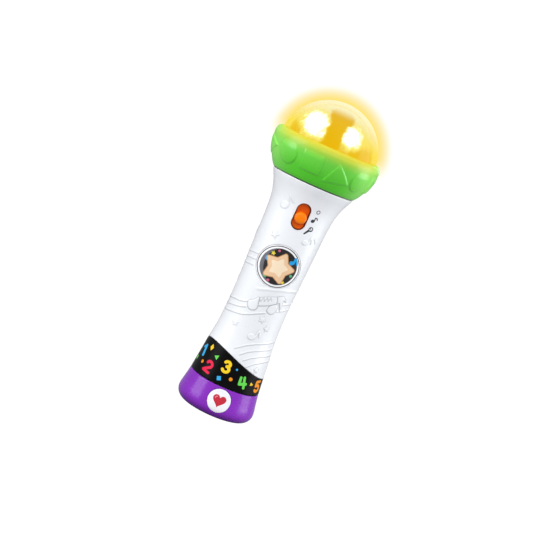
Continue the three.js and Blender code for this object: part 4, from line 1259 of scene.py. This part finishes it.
def collar_ring():
    profile = [(21, 156.45)] + outline(collar_radius, np.arange(156.45, 179.7, 0.3))
    # rounded top rim
    profile += [(34.45, 179.7), (34.2, 180.3), (33.85, 180.8), (33.4, 181.2), (32.9, 181.45),
                (32.4, 181.55), (31.95, 181.4), (31.65, 181.1), (31.55, 180.7)]
    # inside, down to the neck in the handle
    profile += [(31.55, 175.5), (31.55, 170), (28, 170), (28, 165), (26.4, 158.9),
                (19.2, 158.9), (19.2, 151), (22.0, 151), (22.0, 153.1), (21, 153.3)]
    collar = lathe(profile, 540, collar_relief)
    core = [(0, 158.2), (26.0, 158.2), (27.6, 165), (27.6, 169.6), (0, 169.6)]
    join_cad_inside(collar, "collar_ring", core, 96)
    # small hole through the rear, with a wider pocket inside
    boolean(collar, [rod_y(0.8, 0, 163.1, 25, 40), rod_y(3.95, 0, 163.1, 19, 27.2)])
    return collar


finish(collar_ring(), "collar_ring", mat_green, sharp=40)


# ------------------------------------------------------------------ dome and diffuser
def sphere_outline(radius, degrees, middle=DOME_Z):
    """(radius, height) points of a sphere at the given latitudes."""
    return [(radius * math.cos(a), middle + radius * math.sin(a)) for a in np.radians(degrees)]


def ribbed(depth, count, bottom, inner, outer):
    """Displacement that ribs the skin between two sphere radii, above bottom."""
    def displace(angle, radius, z):
        distance = np.hypot(radius, np.maximum(z - DOME_Z, 0))
        where = (distance > inner) & (distance < outer) & (radius > 3) & (z > bottom)
        rib = depth * np.cos(angle * count) * where * np.clip((radius - 3) / 12, 0, 1)
        return radius + rib, z
    return displace


def dome_lens():
    inner = DOME_RADIUS - 1.7
    profile = [(0, DOME_Z + inner)] + sphere_outline(inner, np.linspace(89.0, 0, 60))
    profile += [(inner, 170.3), (DOME_RADIUS, 170.3)]
    profile += sphere_outline(DOME_RADIUS, np.linspace(0, 89.2, 70))
    profile += [(0, DOME_Z + DOME_RADIUS)]
    return lathe(profile, 504, ribbed(0.04, 63, 171, inner=0, outer=DOME_RADIUS - 0.8))


def light_diffuser():
    inner, outer = 26.2, 27.8
    latitudes = np.linspace(0, 88.5, 44)
    profile = [(0, DOME_Z + inner)] + sphere_outline(inner, latitudes[::-1])
    profile += [(inner, 170.3), (29.1, 170.3), (29.1, 171.4), (outer, 171.6)]
    profile += sphere_outline(outer, latitudes) + [(0, DOME_Z + outer)]
    return lathe(profile, 480, ribbed(0.16, 40, 172, inner=27.2, outer=DOME_RADIUS))


finish(dome_lens(), "dome_lens", mat_amber, sharp=45)
finish(light_diffuser(), "light_diffuser", mat_diffuser, sharp=50)


# ------------------------------------------------------------------ switch slider
def switch_slider():
    """Curved plate with a round knob in front and a fork behind."""
    outer, inner, half_width, half_height = 18.25, 17.1, 5.9, 13.4
    half = math.asin(half_width / outer)
    angle, z = np.meshgrid(np.linspace(-half, half, 40),
                           np.linspace(SWITCH_Z - half_height, SWITCH_Z + half_height, 60))
    slider = slab(around_axis(angle, outer + 0 * angle, z),
                  around_axis(angle, inner + 0 * angle, z))
    knob = [(0, -23.3), (0.9, -23.28), (1.8, -23.2), (2.5, -23.05), (3.0, -22.8), (3.35, -22.45),
            (3.55, -22.0), (3.62, -21.5), (3.66, -20.9), (3.76, -20.55), (3.86, -20.3),
            (3.9, -20.0), (3.9, -17.4), (0, -17.4)]
    boolean(slider, [lathe(knob, 96, axis="y", centre=(0, KNOB_Z))], "UNION")
    boolean(slider, [box(-3, 3, -17.6, -14.2, SWITCH_Z - 3.2, SWITCH_Z + 3.2)], "UNION")
    boolean(slider, [box(-1.35, 1.35, -16.4, -13, SWITCH_Z - 1.3, SWITCH_Z + 1.3)])
    return slider


finish(switch_slider(), "switch_slider", mat_orange, sharp=38, body="switch")


# ------------------------------------------------------------------ screws
def screw(node, centre, axis, head_radius, shank_radius, tip, seat, face, body="handle"):
    """Cross-recess screw. tip, seat (under the head) and face are places along its axis."""
    way = 1 if face > seat else -1
    head = face - seat
    profile = [(0, tip), (shank_radius * 0.35, tip + way * 0.5)]
    # thread
    along = tip + way * 1.1
    stop = seat - way * 0.25
    pitch = 0.62
    while (stop - along) * way > pitch:
        profile += [(shank_radius * 0.8, along), (shank_radius, along + way * pitch * 0.5)]
        along += way * pitch
    profile += [(shank_radius * 0.85, stop), (head_radius * 0.95, seat),
                (head_radius, seat + way * 0.15), (head_radius, seat + head * 0.55),
                (head_radius * 0.86, seat + head * 0.82),
                (head_radius * 0.55, seat + head * 0.96), (0, face)]
    made = lathe(profile, 40, axis=axis, centre=centre)
    first, second = centre
    low, high = sorted((face - way * 0.75 * abs(head), face + way * 2))
    half_length, half_width = head_radius * 0.66, 0.34
    cuts = []
    for reach, width in ((half_length, half_width), (half_width, half_length)):
        sides = (first - reach, first + reach)
        others = (second - width, second + width)
        if axis == "y":
            cuts.append(box(*sides, low, high, *others))
        else:
            cuts.append(box(*sides, *others, low, high))
    boolean(made, cuts)
    finish(made, node, mat_screw, sharp=35, body=body)


for tag, y in (("front", -12), ("rear", 12)):
    screw(f"base_screw_{tag}", (0, y), "z", head_radius=2.5, shank_radius=0.95,
          tip=13.4, seat=3.5, face=1.5)
for tag, z in DOOR_SCREWS:
    screw(f"door_screw_{tag}", (0, z), "y", head_radius=2.5, shank_radius=1.05,
          tip=8.3, seat=16.5, face=18.3, body=f"door_screw_{tag}")
for tag, x, z in SHELL_SCREWS:
    screw(f"shell_screw_{tag}", (x, z), "y", head_radius=2.45, shank_radius=1.05,
          tip=-9.5, seat=3.5, face=5.3)
for tag, z in (("lower", 80.0), ("upper", 112.0)):
    screw(f"main_board_screw_{tag}", (0, z), "y", head_radius=2.0, shank_radius=0.75,
          tip=-14.3, seat=-8.1, face=-6.8)

# ------------------------------------------------------------------ cells
# (node, x, profile from the lower end up)
CELLS = [
    ("battery_left", -5.6, [
        (0, 58.9), (3.6, 58.9), (3.7, 59.1), (4.9, 59.15), (5.2, 59.5), (5.2, 102.1),
        (5.0, 102.45), (4.6, 102.6), (2.2, 102.6), (1.9, 102.75), (1.8, 103.25), (1.6, 103.4),
        (0, 103.4)]),
    ("battery_right", 5.6, [
        (0, 57.5), (1.6, 57.5), (1.8, 57.65), (1.9, 58.15), (2.2, 58.3), (4.6, 58.3),
        (5.0, 58.45), (5.2, 58.8), (5.2, 101.4), (4.9, 101.75), (3.7, 101.8), (3.6, 102),
        (0, 102)])]
for name, x, profile in CELLS:
    finish(lathe(profile, 96, centre=(x, 8.6)), name, mat_cell, sharp=30)

# ------------------------------------------------------------------ internals kept from the CAD
SMOOTH_PARTS = [
    (mat_nickel, "speaker_magnet contact_spring_lower contact_plate_lower "
                 "contact_bridge_upper mic_capsule"),
    (mat_case, "speaker_frame"), (mat_black, "chip_blob capacitor"),
    (mat_cone, "speaker_cone"), (mat_cloth, "grille_cloth"), (mat_rubber, "mic_boot"),
    (mat_led, "led_left led_right"),
    (mat_wire_red, "wire_battery_red wire_speaker_red wire_led_red"),
    (mat_wire_black, "led_lead_left led_lead_right wire_battery_black wire_speaker_black "
                     "wire_led_black wire_mic")]
BEVELLED_PARTS = [
    (mat_nickel, "door_clip_lower door_clip_upper"), (mat_case, "slide_switch_case"),
    (mat_black, "slide_switch_actuator"), (mat_board, "main_board led_board"),
    (mat_column, "light_column"),
    (mat_screw, "led_board_screw_1 led_board_screw_2 led_board_screw_3")]


def dress(part, finish_material):
    part.data.materials.clear()
    part.data.materials.append(finish_material)
    weld = part.modifiers.new("weld", "WELD")
    weld.merge_threshold = 2e-7


for part_material, names in SMOOTH_PARTS:
    for name in names.split():
        dress(nodes[name], part_material)
        nodes[name].data.shade_smooth()
        split = nodes[name].modifiers.new("split", "EDGE_SPLIT")
        split.split_angle = math.radians(42)
for part_material, names in BEVELLED_PARTS:
    for name in names.split():
        dress(nodes[name], part_material)
        bevel = nodes[name].modifiers.new("edge", "BEVEL")
        bevel.width = 0.12 * MM
        bevel.segments = 2
        bevel.limit_method = "ANGLE"
        bevel.angle_limit = math.radians(40)


# ------------------------------------------------------------------ floor and halo
def pale_floor():
    """Almost white to the camera, grey to every other ray."""
    cloud = noise(scale=4.0, detail=2.0)
    seen = node("LightPath", out="Is Camera Ray")
    grey = principled(Base_Color=mix(cloud, (0.33, 0.33, 0.34, 1), (0.36, 0.36, 0.37, 1)),
                      Roughness=0.65, Specular_IOR_Level=0.1)
    white = emission(mix(cloud, (0.995, 0.998, 1.0, 1), (1.0, 1.0, 1.0, 1)), strength=1.05)
    return mix_shader(seen, grey, white)


def floor():
    half, z = 12.0, -0.0001  # metres
    mesh = bpy.data.meshes.new("floor")
    corners = [(x, y, z) for x, y in square(half)]
    mesh.from_pydata(corners, [], [(0, 1, 2, 3)])
    made = bpy.data.objects.new("floor", mesh)
    scene.collection.objects.link(made)
    mesh.materials.append(material("pale_floor", pale_floor))
    return made


def halo_glow():
    """Yellow filter, strongest in the middle of the halo, faded out below."""
    incoming = node("NewGeometry", out="Incoming")
    facing = calc("ABSOLUTE", dot(incoming, incoming.sibling("Normal")))
    strength = ramp(facing, span=(0.10, 0.74)) ** 1.7
    # only the far side of the sphere, so that the toy stands in front of it
    strength = strength * incoming.sibling("Backfacing")
    strength = strength * ramp(axis(2), span=(0.168, 0.187))
    return node("BsdfTransparent", {"Color": mix(strength, (1, 1, 1, 1), (1.0, 0.72, 0.13, 1))})


def halo():
    """Painted glow in the air round the lit dome, seen only against the background."""
    radius, middle = 41.5, 178.5
    latitudes = np.linspace(-89, 89, 80)
    made = lathe([(0, middle - radius)] + sphere_outline(radius, latitudes, middle)
                 + [(0, middle + radius)], 160)
    made.name = made.data.name = "halo"
    made.data.shade_smooth()
    made.data.materials.append(material("glow", halo_glow))
    for ray in ("shadow", "diffuse", "glossy", "transmission", "volume_scatter"):
        setattr(made, "visible_" + ray, False)
    return made


floor()
halo()

# ------------------------------------------------------------------ world and lights
world = bpy.data.worlds.new("studio")
scene.world = world
world_surface = start_graph(world, "OutputWorld")
# pale blue light for the scene, plain white for the camera
sky = node("Background", {"Color": (0.93, 0.96, 1.0, 1), "Strength": 0.55})
backdrop = node("Background", {"Color": (1, 1, 1, 1), "Strength": 1.05})
backed = mix_shader(node("LightPath", out="Is Camera Ray"), sky, backdrop)
graph.links.new(backed.socket, world_surface)

LIGHT_AIM = Vector((0, 0, 0.1))
# (name, degrees round the toy, degrees up, distance, width, height, watts), metres
LIGHTS = [
    ("key", -69, 9, 0.75, 0.46, 0.85, 4.1),
    ("fill", 88, 9, 0.8, 0.5, 0.85, 4.6),
    ("high", 4, 38, 0.9, 0.6, 0.6, 3.6),
    ("top", -10, 78, 0.9, 0.7, 0.7, 1.2),
    ("back", 165, 25, 0.9, 0.6, 0.6, 1.8)]


def area_light(name, around, up, distance, width, height, power):
    data = bpy.data.lights.new(name, "AREA")
    data.shape = "RECTANGLE"
    data.size, data.size_y, data.energy = width, height, power
    made = bpy.data.objects.new(name, data)
    around, up = math.radians(around), math.radians(up)
    direction = Vector((math.sin(around) * math.cos(up), -math.cos(around) * math.cos(up),
                        math.sin(up)))
    made.location = LIGHT_AIM + distance * direction
    made.rotation_euler = (-direction).to_track_quat("-Z", "Y").to_euler()
    # these two would show as hot spots on the glossy parts
    made.visible_glossy = name not in ("high", "top")
    scene.collection.objects.link(made)
    return made


[area_light(*light) for light in LIGHTS]

# ------------------------------------------------------------------ camera
# A little left of the front and above, rolled so that the toy leans to the right.
CAMERA_DISTANCE, CAMERA_HEIGHT = 880.0, 213.1
around, pitch, roll = math.radians(-4.7), math.radians(7.54), math.radians(24.14)
yaw = 0.0059859155  # radians to the left of the axis

ahead = np.array([-math.sin(around), math.cos(around), 0])
across = np.array([math.cos(around), math.sin(around), 0])
upright = np.array([0, 0, 1.0])
turned = ahead * math.cos(yaw) - across * math.sin(yaw)
right = across * math.cos(yaw) + ahead * math.sin(yaw)
forward = turned * math.cos(pitch) - upright * math.sin(pitch)
above = upright * math.cos(pitch) + turned * math.sin(pitch)
camera_x = right * math.cos(roll) + above * math.sin(roll)
camera_y = -right * math.sin(roll) + above * math.cos(roll)
camera_place = (CAMERA_DISTANCE * math.sin(around) * MM, -CAMERA_DISTANCE * math.cos(around) * MM,
                CAMERA_HEIGHT * MM)

camera_data = bpy.data.cameras.new("camera")
camera_data.sensor_width = 36.0
camera_data.lens = 95.909944
camera_data.clip_start, camera_data.clip_end = 0.01, 60
camera = bpy.data.objects.new("camera", camera_data)
scene.collection.objects.link(camera)
camera.matrix_world = Matrix([*zip(camera_x, camera_y, -forward, camera_place), (0, 0, 0, 1)])
scene.camera = camera
scene.view_settings.view_transform = "Standard"
scene.view_settings.look = "None"
